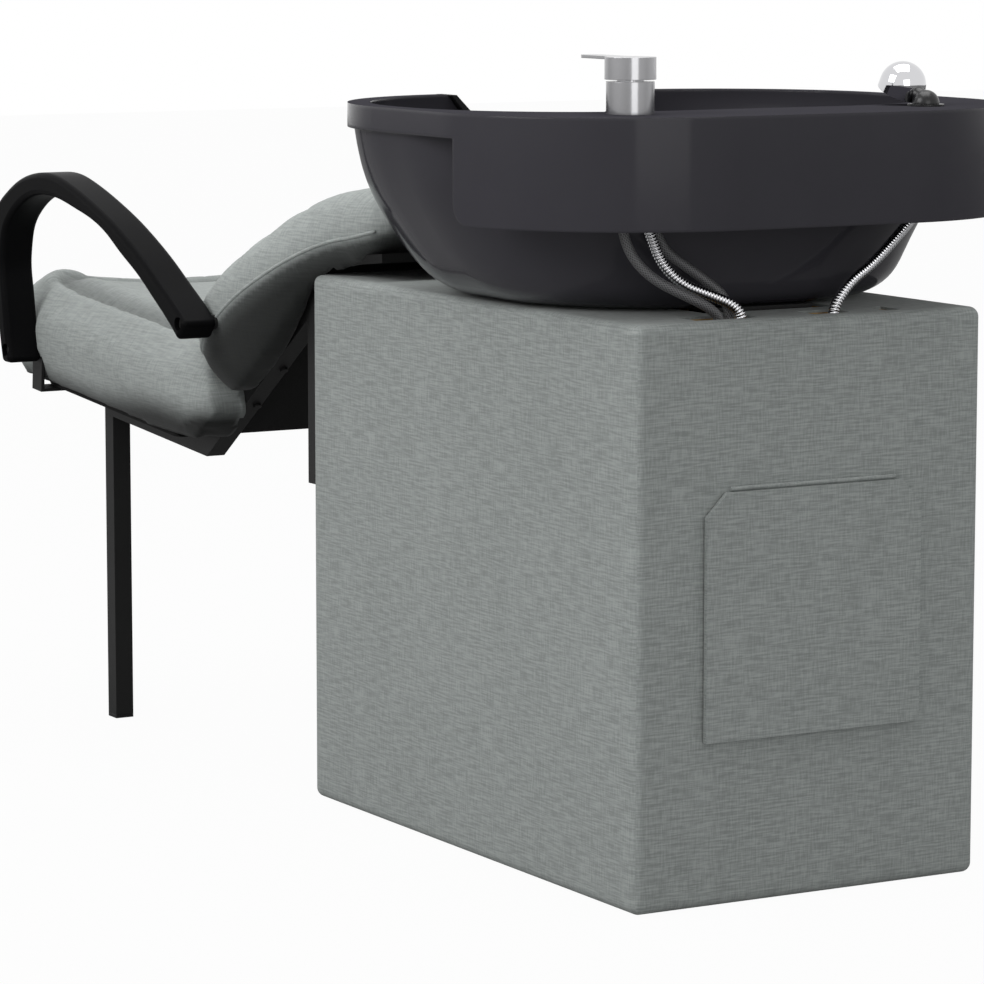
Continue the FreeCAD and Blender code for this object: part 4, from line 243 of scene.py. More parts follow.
@dataclass(frozen=True)
class Grained(Finish):
    """A surface with a fine even grain: mouldings, powder coat, glaze, cast or drawn metal.

    Attributes:
        colour: main colour.
        second: colour of the faint clouds in it.
        rough: roughness between its low and high value.
        grain: grain distance in metres.
        relief: height of the grain in metres.
        metal: one for metal, else zero.
        stretch: how much the grain is drawn out along X, Y and Z.
        edge: radius in metres to which sharp edges are eased, or zero.
        shine: strength of the reflection at a steep angle, 0.5 for plain glass.
        dull: height in metres over which faces that look up don't reflect, or zero.
    """

    colour: str
    second: str
    rough: tuple[float, float]
    grain: float = 0.0012
    relief: float = 0.00002
    metal: float = 0.0
    stretch: tuple[float, float, float] = (1.0, 1.0, 1.0)
    edge: float = 0.0
    shine: float = 0.5
    dull: float = 0.0

    def make(self) -> bpy.types.Material:
        """Makes the material: clouded colour, uneven gloss and grain relief."""
        material, tree, shader = self.start()
        point = add(tree, "ShaderNodeTexCoord").outputs["Object"]
        drawn = add(tree, "ShaderNodeVectorMath", {0: point, 1: self.stretch}, operation="MULTIPLY")
        clouds = add(tree, "ShaderNodeTexNoise", {"Vector": point, "Scale": 14.0, "Detail": 4.0})
        grain = add(tree, "ShaderNodeTexNoise", {"Vector": drawn.outputs[0], "Scale": 1 / self.grain,
                                                 "Detail": 2.0})
        mixed = add(tree, "ShaderNodeMix", {0: clouds.outputs[0], 6: tone(self.colour), 7: tone(self.second)},
                    data_type="RGBA")
        gloss = add(tree, "ShaderNodeMapRange", {"Value": grain.outputs[0], "From Min": 0.3, "From Max": 0.7,
                                                 "To Min": self.rough[0], "To Max": self.rough[1]})
        links = {"Height": grain.outputs[0], "Strength": 1.0, "Distance": self.relief}
        if self.edge:
            links["Normal"] = add(tree, "ShaderNodeBevel", {"Radius": self.edge}, samples=6).outputs[0]
        bump = add(tree, "ShaderNodeBump", links)
        tree.links.new(mixed.outputs[2], shader.inputs["Base Color"])
        tree.links.new(gloss.outputs[0], shader.inputs["Roughness"])
        tree.links.new(bump.outputs[0], shader.inputs["Normal"])
        shader.inputs["Metallic"].default_value = self.metal
        shader.inputs["Specular IOR Level"].default_value = self.shine
        if self.dull:
            tree.links.new(self.dulled(tree, point), shader.inputs["Specular IOR Level"])
        return material

    def dulled(self, tree: bpy.types.NodeTree, point: bpy.types.NodeSocket) -> bpy.types.NodeSocket:
        """Takes the shine off high faces that look up, as the photograph shows the deck.

        The shine is multiplied by one less the product of two ramps: one over 8 mm of height, the
        other over slopes from about 37 down to 18 degrees.

        Args:
            tree: the material's tree.
            point: place on the piece.

        Returns:
            The strength of the reflection.
        """
        high = add(tree, "ShaderNodeSeparateXYZ", {0: point}).outputs[2]
        facing = add(tree, "ShaderNodeSeparateXYZ",
                     {0: add(tree, "ShaderNodeTexCoord").outputs["Normal"]}).outputs[2]
        above = add(tree, "ShaderNodeMapRange", {"Value": high, "From Min": self.dull,
                                                 "From Max": self.dull + 0.008}).outputs[0]
        upward = add(tree, "ShaderNodeMapRange", {"Value": facing, "From Min": 0.8, "From Max": 0.95,
                                                  "To Max": -1.0}).outputs[0]
        both = add(tree, "ShaderNodeMath", {0: above, 1: upward}, operation="MULTIPLY").outputs[0]
        share = add(tree, "ShaderNodeMath", {0: both, 1: 1.0}, operation="ADD").outputs[0]
        return add(tree, "ShaderNodeMath", {0: share, 1: self.shine}, operation="MULTIPLY").outputs[0]


@dataclass(frozen=True)
class Board(Finish):
    """Raw board: chips or broad figures in several browns.

    Attributes:
        pale: lightest wood colour.
        dark: darkest wood colour.
        chip: size of a chip in metres.
    """

    pale: str
    dark: str
    chip: float = 0.005

    def make(self) -> bpy.types.Material:
        """Makes the board: one tone for each chip, with a slight relief."""
        material, tree, shader = self.start()
        point = add(tree, "ShaderNodeTexCoord").outputs["Object"]
        cells = add(tree, "ShaderNodeTexVoronoi", {"Vector": point, "Scale": 1 / self.chip})
        tint = add(tree, "ShaderNodeSeparateColor", {0: cells.outputs["Color"]})
        mixed = add(tree, "ShaderNodeMix", {0: tint.outputs[0], 6: tone(self.dark), 7: tone(self.pale)},
                    data_type="RGBA")
        bump = add(tree, "ShaderNodeBump", {"Height": cells.outputs["Distance"], "Strength": 0.4,
                                            "Distance": 0.0003})
        tree.links.new(mixed.outputs[2], shader.inputs["Base Color"])
        tree.links.new(bump.outputs[0], shader.inputs["Normal"])
        shader.inputs["Roughness"].default_value = 0.8
        return material


@dataclass(frozen=True)
class Braid(Finish):
    """Cord braid on a hose: crossing strands that catch the light.

    Attributes:
        light: colour of a strand's back, lightened as a painted highlight.
        dark: colour between strands, darkened as painted shade.
        strands: strands counted round the hose.
        pitch: strands counted along one metre.
    """

    light: str
    dark: str
    strands: float = 12.0
    pitch: float = 260.0

    def make(self) -> bpy.types.Material:
        """Makes the braid from two families of slanting waves on the piece's own UV map."""
        material, tree, shader = self.start()
        flat = add(tree, "ShaderNodeSeparateXYZ", {0: add(tree, "ShaderNodeTexCoord").outputs["UV"]}).outputs
        waves = []
        for slant in (1.0, -1.0):
            run = add(tree, "ShaderNodeMath", {0: flat[0], 1: self.pitch}, operation="MULTIPLY")
            turn = add(tree, "ShaderNodeMath", {0: flat[1], 1: self.strands * slant}, operation="MULTIPLY")
            both = add(tree, "ShaderNodeMath", {0: run.outputs[0], 1: turn.outputs[0]}, operation="ADD")
            waves.append(add(tree, "ShaderNodeMath", {0: both.outputs[0], 1: 0.5}, operation="PINGPONG"))
        height = add(tree, "ShaderNodeMath", {0: waves[0].outputs[0], 1: waves[1].outputs[0]},
                     operation="MAXIMUM")
        shade = add(tree, "ShaderNodeMapRange", {"Value": height.outputs[0], "From Min": 0.15,
                                                 "From Max": 0.5})
        # Painted highlight and shade: strand backs lighter and the gaps between strands darker, by the
        # weave's height
        mixed = add(tree, "ShaderNodeMix", {0: shade.outputs[0], 6: tone(self.dark), 7: tone(self.light)},
                    data_type="RGBA")
        bump = add(tree, "ShaderNodeBump", {"Height": height.outputs[0], "Strength": 0.9, "Distance": 0.0006})
        tree.links.new(mixed.outputs[2], shader.inputs["Base Color"])
        tree.links.new(bump.outputs[0], shader.inputs["Normal"])
        shader.inputs["Roughness"].default_value = 0.35
        return material


def grid_mesh(name: str, points: np.ndarray, closed: bool, caps: bool,
              uv: np.ndarray | None = None) -> bpy.types.Object:
    """Turns a grid of points into a mesh object at the origin.

    Args:
        name: name of the piece.
        points: rows by columns by three, in metres; each row is one section.
        closed: whether each row closes on itself.
        caps: whether the first and last rows are closed with a face.
        uv: rows by columns by two, or None.

    Returns:
        The linked object, smooth shaded.
    """
    rows, columns = points.shape[:2]
    index = np.arange(rows * columns).reshape(rows, columns)
    following = np.roll(index, -1, axis=1)
    last = columns if closed else columns - 1
    quads = np.stack([index[:-1, :last], following[:-1, :last], following[1:, :last], index[1:, :last]],
                     axis=-1).reshape(-1, 4)
    faces = quads.tolist()
    if caps:
        faces += [index[0, ::-1].tolist(), index[-1].tolist()]
    mesh = bpy.data.meshes.new(name)
    mesh.from_pydata(points.reshape(-1, 3).tolist(), [], faces)
    mesh.shade_smooth()
    if uv is not None:
        layer = mesh.uv_layers.new(name="Along")
        corners = np.empty(len(mesh.loops), dtype=np.int32)
        mesh.loops.foreach_get("vertex_index", corners)
        layer.data.foreach_set("uv", uv.reshape(-1, 2)[corners].ravel())
    piece = bpy.data.objects.new(name, mesh)
    bpy.context.scene.collection.objects.link(piece)
    return piece


def level(table: np.ndarray, at: np.ndarray) -> np.ndarray:
    """Reads a table of rows smoothly between its stations.

    Each column follows a cubic whose slope at a station is the slope between its neighbours.

    Args:
        table: rows of a position and the values there.
        at: positions to read.

    Returns:
        One row of values for each position.
    """
    stations, values = table[:, 0], table[:, 1:]
    slopes = np.gradient(values, stations, axis=0)
    place = np.clip(np.searchsorted(stations, at) - 1, 0, len(stations) - 2)
    width = (stations[place + 1] - stations[place])[:, None]
    share = ((at - stations[place]) / width[:, 0])[:, None]
    first, second = values[place], values[place + 1]
    return (first * (1 + 2 * share) * (1 - share) ** 2 + second * share ** 2 * (3 - 2 * share)
            + slopes[place] * width * share * (1 - share) ** 2
            - slopes[place + 1] * width * share ** 2 * (1 - share))


def arc(start: np.ndarray, middle: np.ndarray, end: np.ndarray, count: int) -> np.ndarray:
    """Points on the circle through three points of a plane, from start to short of end.

    The centre comes from the two perpendicular bisectors; the angle then runs evenly.

    Args:
        start: first point.
        middle: a point between.
        end: last point.
        count: number of points.

    Returns:
        Rows of points.
    """
    matrix = 2 * np.array([middle - start, end - start])
    centre = np.linalg.solve(matrix, np.array([middle @ middle - start @ start, end @ end - start @ start]))
    angles = [math.atan2(*(point - centre)[::-1]) for point in (start, middle, end)]
    turn = (angles[2] - angles[0]) % (2 * math.pi)
    if (angles[1] - angles[0]) % (2 * math.pi) > turn:
        turn -= 2 * math.pi
    run = angles[0] + turn * np.arange(count) / count
    radius = np.linalg.norm(start - centre)
    return centre + radius * np.stack([np.cos(run), np.sin(run)], axis=1)


def even(piece: bpy.types.Object, voxel: float) -> None:
    """Gives a closed piece an even mesh.

    Args:
        piece: the mesh object, changed in place.
        voxel: size of a face in metres.
    """
    remesh = piece.modifiers.new("Even", "REMESH")
    remesh.mode = "VOXEL"
    remesh.voxel_size = voxel
    apply_modifiers(piece)


def swell(piece: bpy.types.Object, cap: float, pressure: float = 4.0) -> None:
    """Pads a closed piece: cloth under pressure for twenty frames, then a limit on how far it moved.

    Args:
        piece: the mesh object, changed in place.
        cap: furthest that a point may move, in metres.
        pressure: inner pressure of the cloth.
    """
    bpy.context.view_layer.objects.active = piece
    before = vertex_array(piece)
    cloth = piece.modifiers.new("Padding", "CLOTH")
    cloth.settings.use_pressure = True
    cloth.settings.uniform_pressure_force = pressure
    cloth.settings.effector_weights.gravity = 0
    cloth.settings.quality = 4
    scene = bpy.context.scene
    for frame_number in range(1, 21):
        scene.frame_set(frame_number)
    apply_modifiers(piece)
    scene.frame_set(1)
    move = vertex_array(piece) - before
    far = np.linalg.norm(move, axis=1, keepdims=True)
    put_vertices(piece, before + move * np.minimum(1, cap / np.maximum(far, 1e-9)))


def apply_modifiers(piece: bpy.types.Object) -> None:
    """Keeps the result of all modifiers as the piece's own mesh.

    Args:
        piece: the mesh object, changed in place.
    """
    graph = bpy.context.evaluated_depsgraph_get()
    fresh = bpy.data.meshes.new_from_object(piece.evaluated_get(graph))
    piece.modifiers.clear()
    piece.data = fresh
    fresh.shade_smooth()


def vertex_array(piece: bpy.types.Object) -> np.ndarray:
    """Reads a mesh's vertices.

    Args:
        piece: the mesh object.

    Returns:
        An array of three columns.
    """
    flat = np.empty(len(piece.data.vertices) * 3, dtype=np.float32)
    piece.data.vertices.foreach_get("co", flat)
    return flat.reshape(-1, 3).astype(np.float64)


def put_vertices(piece: bpy.types.Object, points: np.ndarray) -> None:
    """Writes an array of three columns into a mesh's vertices."""
    piece.data.vertices.foreach_set("co", points.astype(np.float32).ravel())
    piece.data.update()


@dataclass
class SidePlane:
    """A tilted frame of the side view: along the tube, up from it, and across the chair.

    Attributes:
        origin: its zero point, Y and Z in metres.
        pitch: slope of its length above level, in radians.
    """

    origin: tuple[float, float]
    pitch: float

    def outward(self, across: np.ndarray, along: np.ndarray, up: np.ndarray) -> np.ndarray:
        """Turns frame coordinates into points of the scene.

        Args:
            across: distances to the sitter's left.
            along: distances along the tube.
            up: distances square to the tube.

        Returns:
            Points, with one more axis than the distances.
        """
        cos, sin = math.cos(self.pitch), math.sin(self.pitch)
        return np.stack([across, self.origin[0] + along * cos - up * sin,
                         self.origin[1] + along * sin + up * cos], axis=-1)

    def inward(self, points: np.ndarray) -> tuple[np.ndarray, np.ndarray, np.ndarray]:
        """Turns points of the scene into frame coordinates.

        Args:
            points: points of the scene.

        Returns:
            Distances across, along and up.
        """
        cos, sin = math.cos(self.pitch), math.sin(self.pitch)
        y, z = points[..., 1] - self.origin[0], points[..., 2] - self.origin[1]
        return points[..., 0], y * cos + z * sin, z * cos - y * sin


# Both start where the seat rail meets the back tube
SEAT_PLANE = SidePlane((-0.26724, 0.36353), math.radians(-4.4148))
BACK_PLANE = SidePlane((-0.26724, 0.36353), math.radians(35.2))


def section(shape: dict[str, tuple[float, float]], half: float, low: float, tall: float,
            path: list[tuple[str, str, str]], counts: list[int]) -> np.ndarray:
    """Right half of a cushion section from the foot over the side to the middle.

    Args:
        shape: named points as shares of half width and height.
        half: half width in metres.
        low: height of the foot.
        tall: height of the section.
        path: triples of point names, each one arc.
        counts: points on each arc.

    Returns:
        Rows of across and up.
    """
    spots = {name: np.array([x * half, low + z * tall]) for name, (x, z) in shape.items()}
    spots["mirror"] = spots["shoulder"] * np.array([-1, 1])
    return np.concatenate([arc(spots[first], spots[second], spots[third], count)
                           for (first, second, third), count in zip(path, counts)])


def plump(piece: bpy.types.Object) -> None:
    even(piece, PAD_MESH)
    swell(piece, PAD_MOVE)


def dim(piece: bpy.types.Object, shade: np.ndarray) -> None:
    """Stores how much painted shade each vertex of a cushion gets, from zero to one."""
    layer = piece.data.attributes.new("dim", "FLOAT", "POINT")
    layer.data.foreach_set("value", np.clip(shade, 0, 1).astype(np.float32))


def ease(value: np.ndarray) -> np.ndarray:
    """Smooth step from zero to one."""
    value = np.clip(value, 0, 1)
    return value * value * (3 - 2 * value)


@dataclass
class SeatCushion:
    """Contoured seat: full bolster, a valley inside each edge and a dished middle.

    Attributes:
        half: half width at the belly.
        thick: height over the board.
        base: underside over the rail.
        front: front end along the rail.
        rear: rear end along the rail.
        hem: share of the half width at which the underside begins.
        valley: distance of the valley inside the outline.
        depth: depth of the valley.
        tube: half width over the tubes, outside which the rear corners hang down.
        widest: furthest that the cloth bulges to either side.
        reach: furthest up the back that the seat goes.
        touch: room left to the board of the back.
        sink: how far the rear corners pass the front of the back.
        shape: named points of the section as shares of half width and height.
        stations: rows of share, and shares of half width, of the foot's height and of the height.
    """

    half: float = 0.2455
    thick: float = 0.111
    base: float = 0.0118
    front: float = -0.447
    rear: float = 0.135
    hem: float = 0.925
    valley: float = 0.046
    depth: float = 0.011
    tube: float = 0.190
    widest: float = 0.2468
    reach: float = 0.118
    touch: float = 0.0021
    sink: float = 0.036
    shape: dict[str, tuple[float, float]] = field(default_factory=lambda: {
        "foot": (0.94, -0.10), "belly": (1.0, 0.42), "crease": (0.90, 0.90),
        "ridge": (0.82, 0.985), "shoulder": (0.62, 0.95), "dip": (0.0, 0.87)})
    stations: tuple[tuple[float, ...], ...] = (
        (0.0, 0.86, 0.30, 0.66), (0.008, 0.91, 0.20, 0.80), (0.025, 0.95, 0.10, 0.91),
        (0.06, 0.98, 0.03, 0.975), (0.13, 0.995, 0.0, 1.0), (0.24, 1.0, 0.0, 1.01), (0.45, 1.0, 0.0, 1.0),
        (0.7, 0.995, 0.0, 0.98), (0.88, 0.98, 0.0, 0.96), (1.0, 0.95, 0.0, 0.93))

    def surface(self) -> np.ndarray:
        """Sections across the rail, read smoothly between stations.

        Returns:
            A grid of points whose rows are closed sections.
        """
        shares = 1 - np.cos(np.linspace(0, math.pi / 2, 60))
        shares = np.concatenate([shares * 0.5, np.linspace(0.5, 1, 40)[1:]])
        widths = level(np.array(self.stations), shares)
        path = [("foot", "belly", "crease"), ("crease", "ridge", "shoulder"), ("shoulder", "dip", "mirror")]
        rows = []
        for share, (wide, low_share, high_share) in zip(shares, widths):
            low = self.base + low_share * self.thick
            tall = high_share * self.thick - (low - self.base)
            profile = section(self.shape, wide * self.half, low, tall, path, [26, 16, 24])
            # The last arc spans the whole dip, and its first half ends at the middle
            right = np.concatenate([[[self.hem * wide * self.half, low]], profile[:-12]])
            loop = np.concatenate([right, right[::-1] * np.array([-1, 1])])
            along = np.full(len(loop), self.front + share * (self.rear - self.front))
            rows.append(SEAT_PLANE.outward(loop[:, 0], along, loop[:, 1]))
        return self.pressed(np.array(rows))

    def pressed(self, points: np.ndarray) -> np.ndarray:
        """Holds the seat off its board, off the back and off the back cushion.

        Args:
            points: points of the seat cushion.

        Returns:
            The points, flat where they would pass the board or the back; outside the tubes the
            rear corners reach past the front of the back.
        """
        across, along, up = SEAT_PLANE.inward(points)
        inside = np.abs(across) < self.hem * self.half
        points = SEAT_PLANE.outward(across, along, np.where(inside, np.maximum(up, self.base), up))
        across, along, up = BACK_PLANE.inward(points)
        limit = np.where(np.abs(across) < self.tube, self.touch, -self.sink)
        up = np.where(along > -0.005, np.maximum(up, limit), up)
        return BACK_PLANE.outward(np.clip(across, -self.widest, self.widest),
                                  np.minimum(along, self.reach), up)

    def crease(self, points: np.ndarray) -> tuple[np.ndarray, np.ndarray]:
        """Draws the cloth down along the valley and lets small puckers run into it.

        The distance to the outline is a soft minimum of those to the side and to the front. The
        groove is a bell curve about the valley, steep towards the outline and wide towards the
        middle; a lower bell beside it makes the roll, a quick sine in the groove the puckers, and
        a slow one everywhere the waves.

        Args:
            points: vertices of the padded cushion.

        Returns:
            Vertices moved down by a bell curve of their distance from the valley, and how far
            each one lies in the valley, from zero to one.
        """
        across, along, up = SEAT_PLANE.inward(points)
        share = np.clip((along - self.front) / (self.rear - self.front), 0, 1)
        side = self.half * level(np.array(self.stations), share)[:, 0] - np.abs(across)
        edge = -np.log(np.exp(-side / 0.02) + np.exp(-(along - self.front) / 0.02)) * 0.02
        top = ease((up - self.base - 0.62 * self.thick) / (0.25 * self.thick))
        distance = edge - self.valley
        width = np.where(distance > 0, 0.020, 0.0075)
        groove = np.exp(-(distance / width) ** 2) * top
        roll = 0.0025 * np.exp(-((distance + 0.017) / 0.010) ** 2) * top
        pucker = 0.0006 * np.sin(along * 210 + 2 * np.sin(along * 47)) * top
        pucker *= np.exp(-(distance / 0.016) ** 2)
        wave = 0.0012 * np.sin(along * 23 + 1.1) * np.sin(across * 17 + 0.6) * top
        return SEAT_PLANE.outward(across, along, up - self.depth * groove + roll + pucker + wave), groove

    def build(self) -> bpy.types.Object:
        """Makes the padded seat, with painted shade at the hem, in the valley and behind the back's front.

        Returns:
            The seat cushion.
        """
        piece = grid_mesh("seat_cushion_padded", self.surface(), True, True)
        plump(piece)
        points, groove = self.crease(self.pressed(vertex_array(piece)))
        put_vertices(piece, points)
        across, along, up = SEAT_PLANE.inward(points)
        start = 0.040 + 0.020 * ease((along + 0.20) / 0.20)
        beside = ease((np.abs(across) - self.tube) / 0.012)
        behind = ease(-BACK_PLANE.inward(points)[2] / 0.030)
        # Painted shade: darker towards the hem, in the valley, and on the rear corners beside the tubes
        # behind the back's front
        dim(piece, 0.97 * ease((start - up) / 0.042) + 0.5 * groove + 0.4 * beside * behind)
        return piece


@dataclass
class BackCushion:
    """Reclined back: rounded crown over side panels with painted shade below the seam, bent over the cabinet
    edge.

    Attributes:
        base: underside over the spine.
        foot: lower end up the tube from the bend.
        knee: where the spine bends, Y and Z.
        end: upper end of the spine, Y and Z.
        tube: half width over the tubes, outside which the side panel hangs down.
        roll: radius of the rolled seam.
        stations: rows of share, half width, foot, seam and crown height over the spine.
    """

    base: float = 0.0098
    foot: float = 0.118
    knee: tuple[float, float] = (0.035, 0.57670)
    end: tuple[float, float] = (0.144, 0.588)
    tube: float = 0.1905
    roll: float = 0.0019
    stations: tuple[tuple[float, ...], ...] = (
        (0.0, 0.210, 0.014, 0.034, 0.056), (0.012, 0.222, 0.000, 0.035, 0.074),
        (0.04, 0.232, -0.016, 0.037, 0.090), (0.10, 0.239, -0.028, 0.040, 0.101),
        (0.20, 0.240, -0.030, 0.041, 0.105), (0.34, 0.238, -0.028, 0.039, 0.101),
        (0.50, 0.231, -0.016, 0.033, 0.093), (0.64, 0.219, 0.001, 0.027, 0.084),
        (0.80, 0.204, 0.001, 0.027, 0.080), (0.92, 0.194, 0.004, 0.030, 0.078),
        (0.975, 0.184, 0.014, 0.034, 0.070), (1.0, 0.172, 0.024, 0.038, 0.056))

    def spine(self, share: float) -> SidePlane:
        """Frame of the spine at a share of its length.

        The spine is two straight lines; about the knee a curve with three control points takes
        over, and the slope changes evenly along it.

        Args:
            share: share of the length, from the foot.

        Returns:
            The tilted frame there.
        """
        foot = np.array(BACK_PLANE.origin) + self.foot * np.array(
            [math.cos(BACK_PLANE.pitch), math.sin(BACK_PLANE.pitch)])
        knee, end = np.array(self.knee), np.array(self.end)
        upper = math.atan2(end[1] - knee[1], end[0] - knee[0])
        first, second = np.linalg.norm(knee - foot), np.linalg.norm(end - knee)
        ways = [np.array([math.cos(turn), math.sin(turn)]) for turn in (BACK_PLANE.pitch, upper)]
        distance, reach = share * (first + second), second / 2
        if distance <= first - reach:
            return SidePlane(tuple(foot + ways[0] * distance), BACK_PLANE.pitch)
        if distance >= first + reach:
            return SidePlane(tuple(knee + ways[1] * (distance - first)), upper)
        part = (distance - first + reach) / (2 * reach)
        one = knee - ways[0] * reach * (1 - part)
        two = knee + ways[1] * reach * part
        slope = BACK_PLANE.pitch + (upper - BACK_PLANE.pitch) * part
        return SidePlane(tuple(one + (two - one) * part), slope)

    def surface(self) -> np.ndarray:
        """Sections across the spine, read smoothly between stations.

        Returns:
            A grid of points whose rows are closed sections.
        """
        shares = (1 - np.cos(np.linspace(0, math.pi, 110))) / 2
        heights = level(np.array(self.stations), shares)
        rows = []
        for share, (wide, low, seam, high) in zip(shares, heights):
            spots = [np.array(spot) for spot in (
                (0.90 * wide, low), (0.975 * wide, low + 0.45 * (seam - low)), (wide, seam),
                (0.945 * wide, seam + 0.66 * (high - seam)), (0.76 * wide, seam + 0.94 * (high - seam)),
                (0.0, high), (-0.76 * wide, seam + 0.94 * (high - seam)))]
            hem = [[min(self.tube, 0.88 * wide), max(self.base, low)], [min(self.tube, 0.88 * wide), low]]
            right = np.concatenate([hem, arc(*spots[:3], 12), arc(*spots[2:5], 24), arc(*spots[4:], 40)[:20]])
            loop = np.concatenate([right, right[::-1] * np.array([-1, 1])])
            rows.append(self.spine(float(share)).outward(loop[:, 0], np.zeros(len(loop)), loop[:, 1]))
        return np.array(rows)

    def located(self, points: np.ndarray) -> tuple[np.ndarray, np.ndarray]:
        """Finds how far each point lies along the spine, and its height over it.

        Args:
            points: points of the cushion.

        Returns:
            Shares of the spine's length and heights in metres.
        """
        shares = np.linspace(0, 1, 240)
        found = [self.spine(float(share)).inward(points)[1:] for share in shares]
        off = np.abs(np.array([along for along, up in found]))
        nearest = np.argmin(off, axis=0)
        return shares[nearest], np.array([up for along, up in found])[nearest, np.arange(len(points))]

    def piping(self, piece: bpy.types.Object) -> bpy.types.Object:
        """Lays the rolled seam on the finished cushion, down both sides.

        A ray from each side meets the cloth at the seam's height; the hits are smoothed over five
        neighbours, and a ring is carried along them.

        Args:
            piece: the padded cushion.

        Returns:
            Two thin cords with closed ends, half sunk into the cloth, as one piece.
        """
        tree = BVHTree.FromObject(piece, bpy.context.evaluated_depsgraph_get())
        shares = np.linspace(0.03, 0.97, 150)
        seams = level(np.array(self.stations), shares)[:, 2]
        grids = []
        for side in (1.0, -1.0):
            line = []
            for share, seam in zip(shares, seams):
                start = self.spine(float(share)).outward(np.array(0.4 * side), np.array(0.0), np.array(seam))
                hit = tree.ray_cast(Vector(start), Vector((-side, 0.0, 0.0)))[0]
                if hit is not None:
                    line.append(np.array(hit))
            points = np.array(line)
            points[2:-2] = sum(points[shift:len(points) - 4 + shift] for shift in range(5)) / 5
            way = np.gradient(points, axis=0)
            way /= np.linalg.norm(way, axis=1, keepdims=True)
            across = np.cross(way, np.array([1.0, 0.0, 0.0]))
            across /= np.linalg.norm(across, axis=1, keepdims=True)
            out = np.cross(across, way)
            turn = np.linspace(0, 2 * math.pi, 10, endpoint=False)
            ring = across[:, None] * np.cos(turn)[None, :, None] + out[:, None] * np.sin(turn)[None, :, None]
            grids.append(grid_mesh("back_cushion_seam", points[:, None] + self.roll * ring, True, True))
        with bpy.context.temp_override(active_object=grids[0], selected_editable_objects=grids,
                                       selected_objects=grids, object=grids[0]):
            bpy.ops.object.join()
        return grids[0]

    def build(self) -> bpy.types.Object:
        """Makes the padded back, with painted shade on its sides below the seam.

        Returns:
            The back cushion.
        """
        piece = grid_mesh("back_cushion_padded", self.surface(), True, True)
        plump(piece)
        points = vertex_array(piece)
        across, along, up = BACK_PLANE.inward(points)
        flat = (along < 0.38) & (np.abs(across) < self.tube - 0.002)
        up = np.where(flat, np.maximum(up, self.base), up)
        points = BACK_PLANE.outward(across, np.maximum(along, self.foot), up)
        put_vertices(piece, points)
        share, up = self.located(points)
        seam = level(np.array(self.stations), share)[:, 2]
        # Painted shade: the sides darken below the seam, most within 11 mm and the rest over 30 mm
        dim(piece, 0.80 * ease((seam + 0.001 - up) / 0.011) + 0.17 * ease((seam - up) / 0.03))
        return piece


class Route(Enum):
    """Centre points of each hose in millimetres, from the fitting it leaves."""

    SHOWER = (
        (170, 625.5, 722), (170, 625.5, 694.5), (160, 625, 667.9), (152, 626, 646), (142, 628, 621),
        (121, 632, 600), (92, 639, 589), (69, 645, 579.1), (60.5, 646.5, 565.1), (57, 643, 519.7),
        (62, 638, 469.7), (62, 632, 419.8), (48, 628, 377.7), (20, 626, 355), (-10, 626, 357.8),
        (-32, 628, 385.1), (-42, 632, 430), (-46, 638, 480), (-44, 645, 529.9), (-42, 649, 560),
        (-42, 648, 572.1), (-64.1, 644, 595.9), (-96, 638, 612), (-139.9, 630, 647), (-155, 624, 658),
        (-166.1, 619, 670), (-170, 617, 682.8), (-170, 617, 696))
    HOT = (
        (177.4, 612.8, 722), (177.4, 612.8, 692), (180.1, 618, 656.1), (171.7, 622, 627.9), (153, 632, 606),
        (126, 641, 591.7), (101, 646.5, 579.6), (86, 647.5, 567), (84, 646, 530), (94.4, 650, 470),
        (124.4, 651.5, 399.9), (145.1, 651.5, 329.8), (145.1, 651.5, 200.2), (134.6, 643, 165),
        (124, 640, 132.9), (124, 640, 110))
    COLD = (
        (162.6, 612.8, 722), (162.6, 612.8, 692), (146, 612, 664), (136, 613, 645), (128, 614, 630.1),
        (106, 617, 614.9), (86, 621, 601), (71, 628.5, 587.4), (67, 633.5, 567), (67, 634, 530),
        (75, 642, 459.9), (100.4, 650, 389.8), (118.1, 651.5, 329.8), (118.1, 651.5, 200.2),
        (107.6, 643, 165), (97, 640, 132.9), (97, 640, 110))
    WASTE = (
        (0, 428, 499), (0, 428, 439.9), (0, 436, 380), (0, 452, 310.2), (0, 476, 239.9), (0, 497, 170.1),
        (0, 507, 110.1), (0, 507, 51.5))


# Share of the shower hose below which it hangs from the basin; the rest, up to the hand shower, is a separate
# piece
SHOWER_SPLIT = 0.92


class Hide(Enum):
    """What the outside of a hose is made of."""

    RIBS = "ribs"
    PLAIN = "plain"


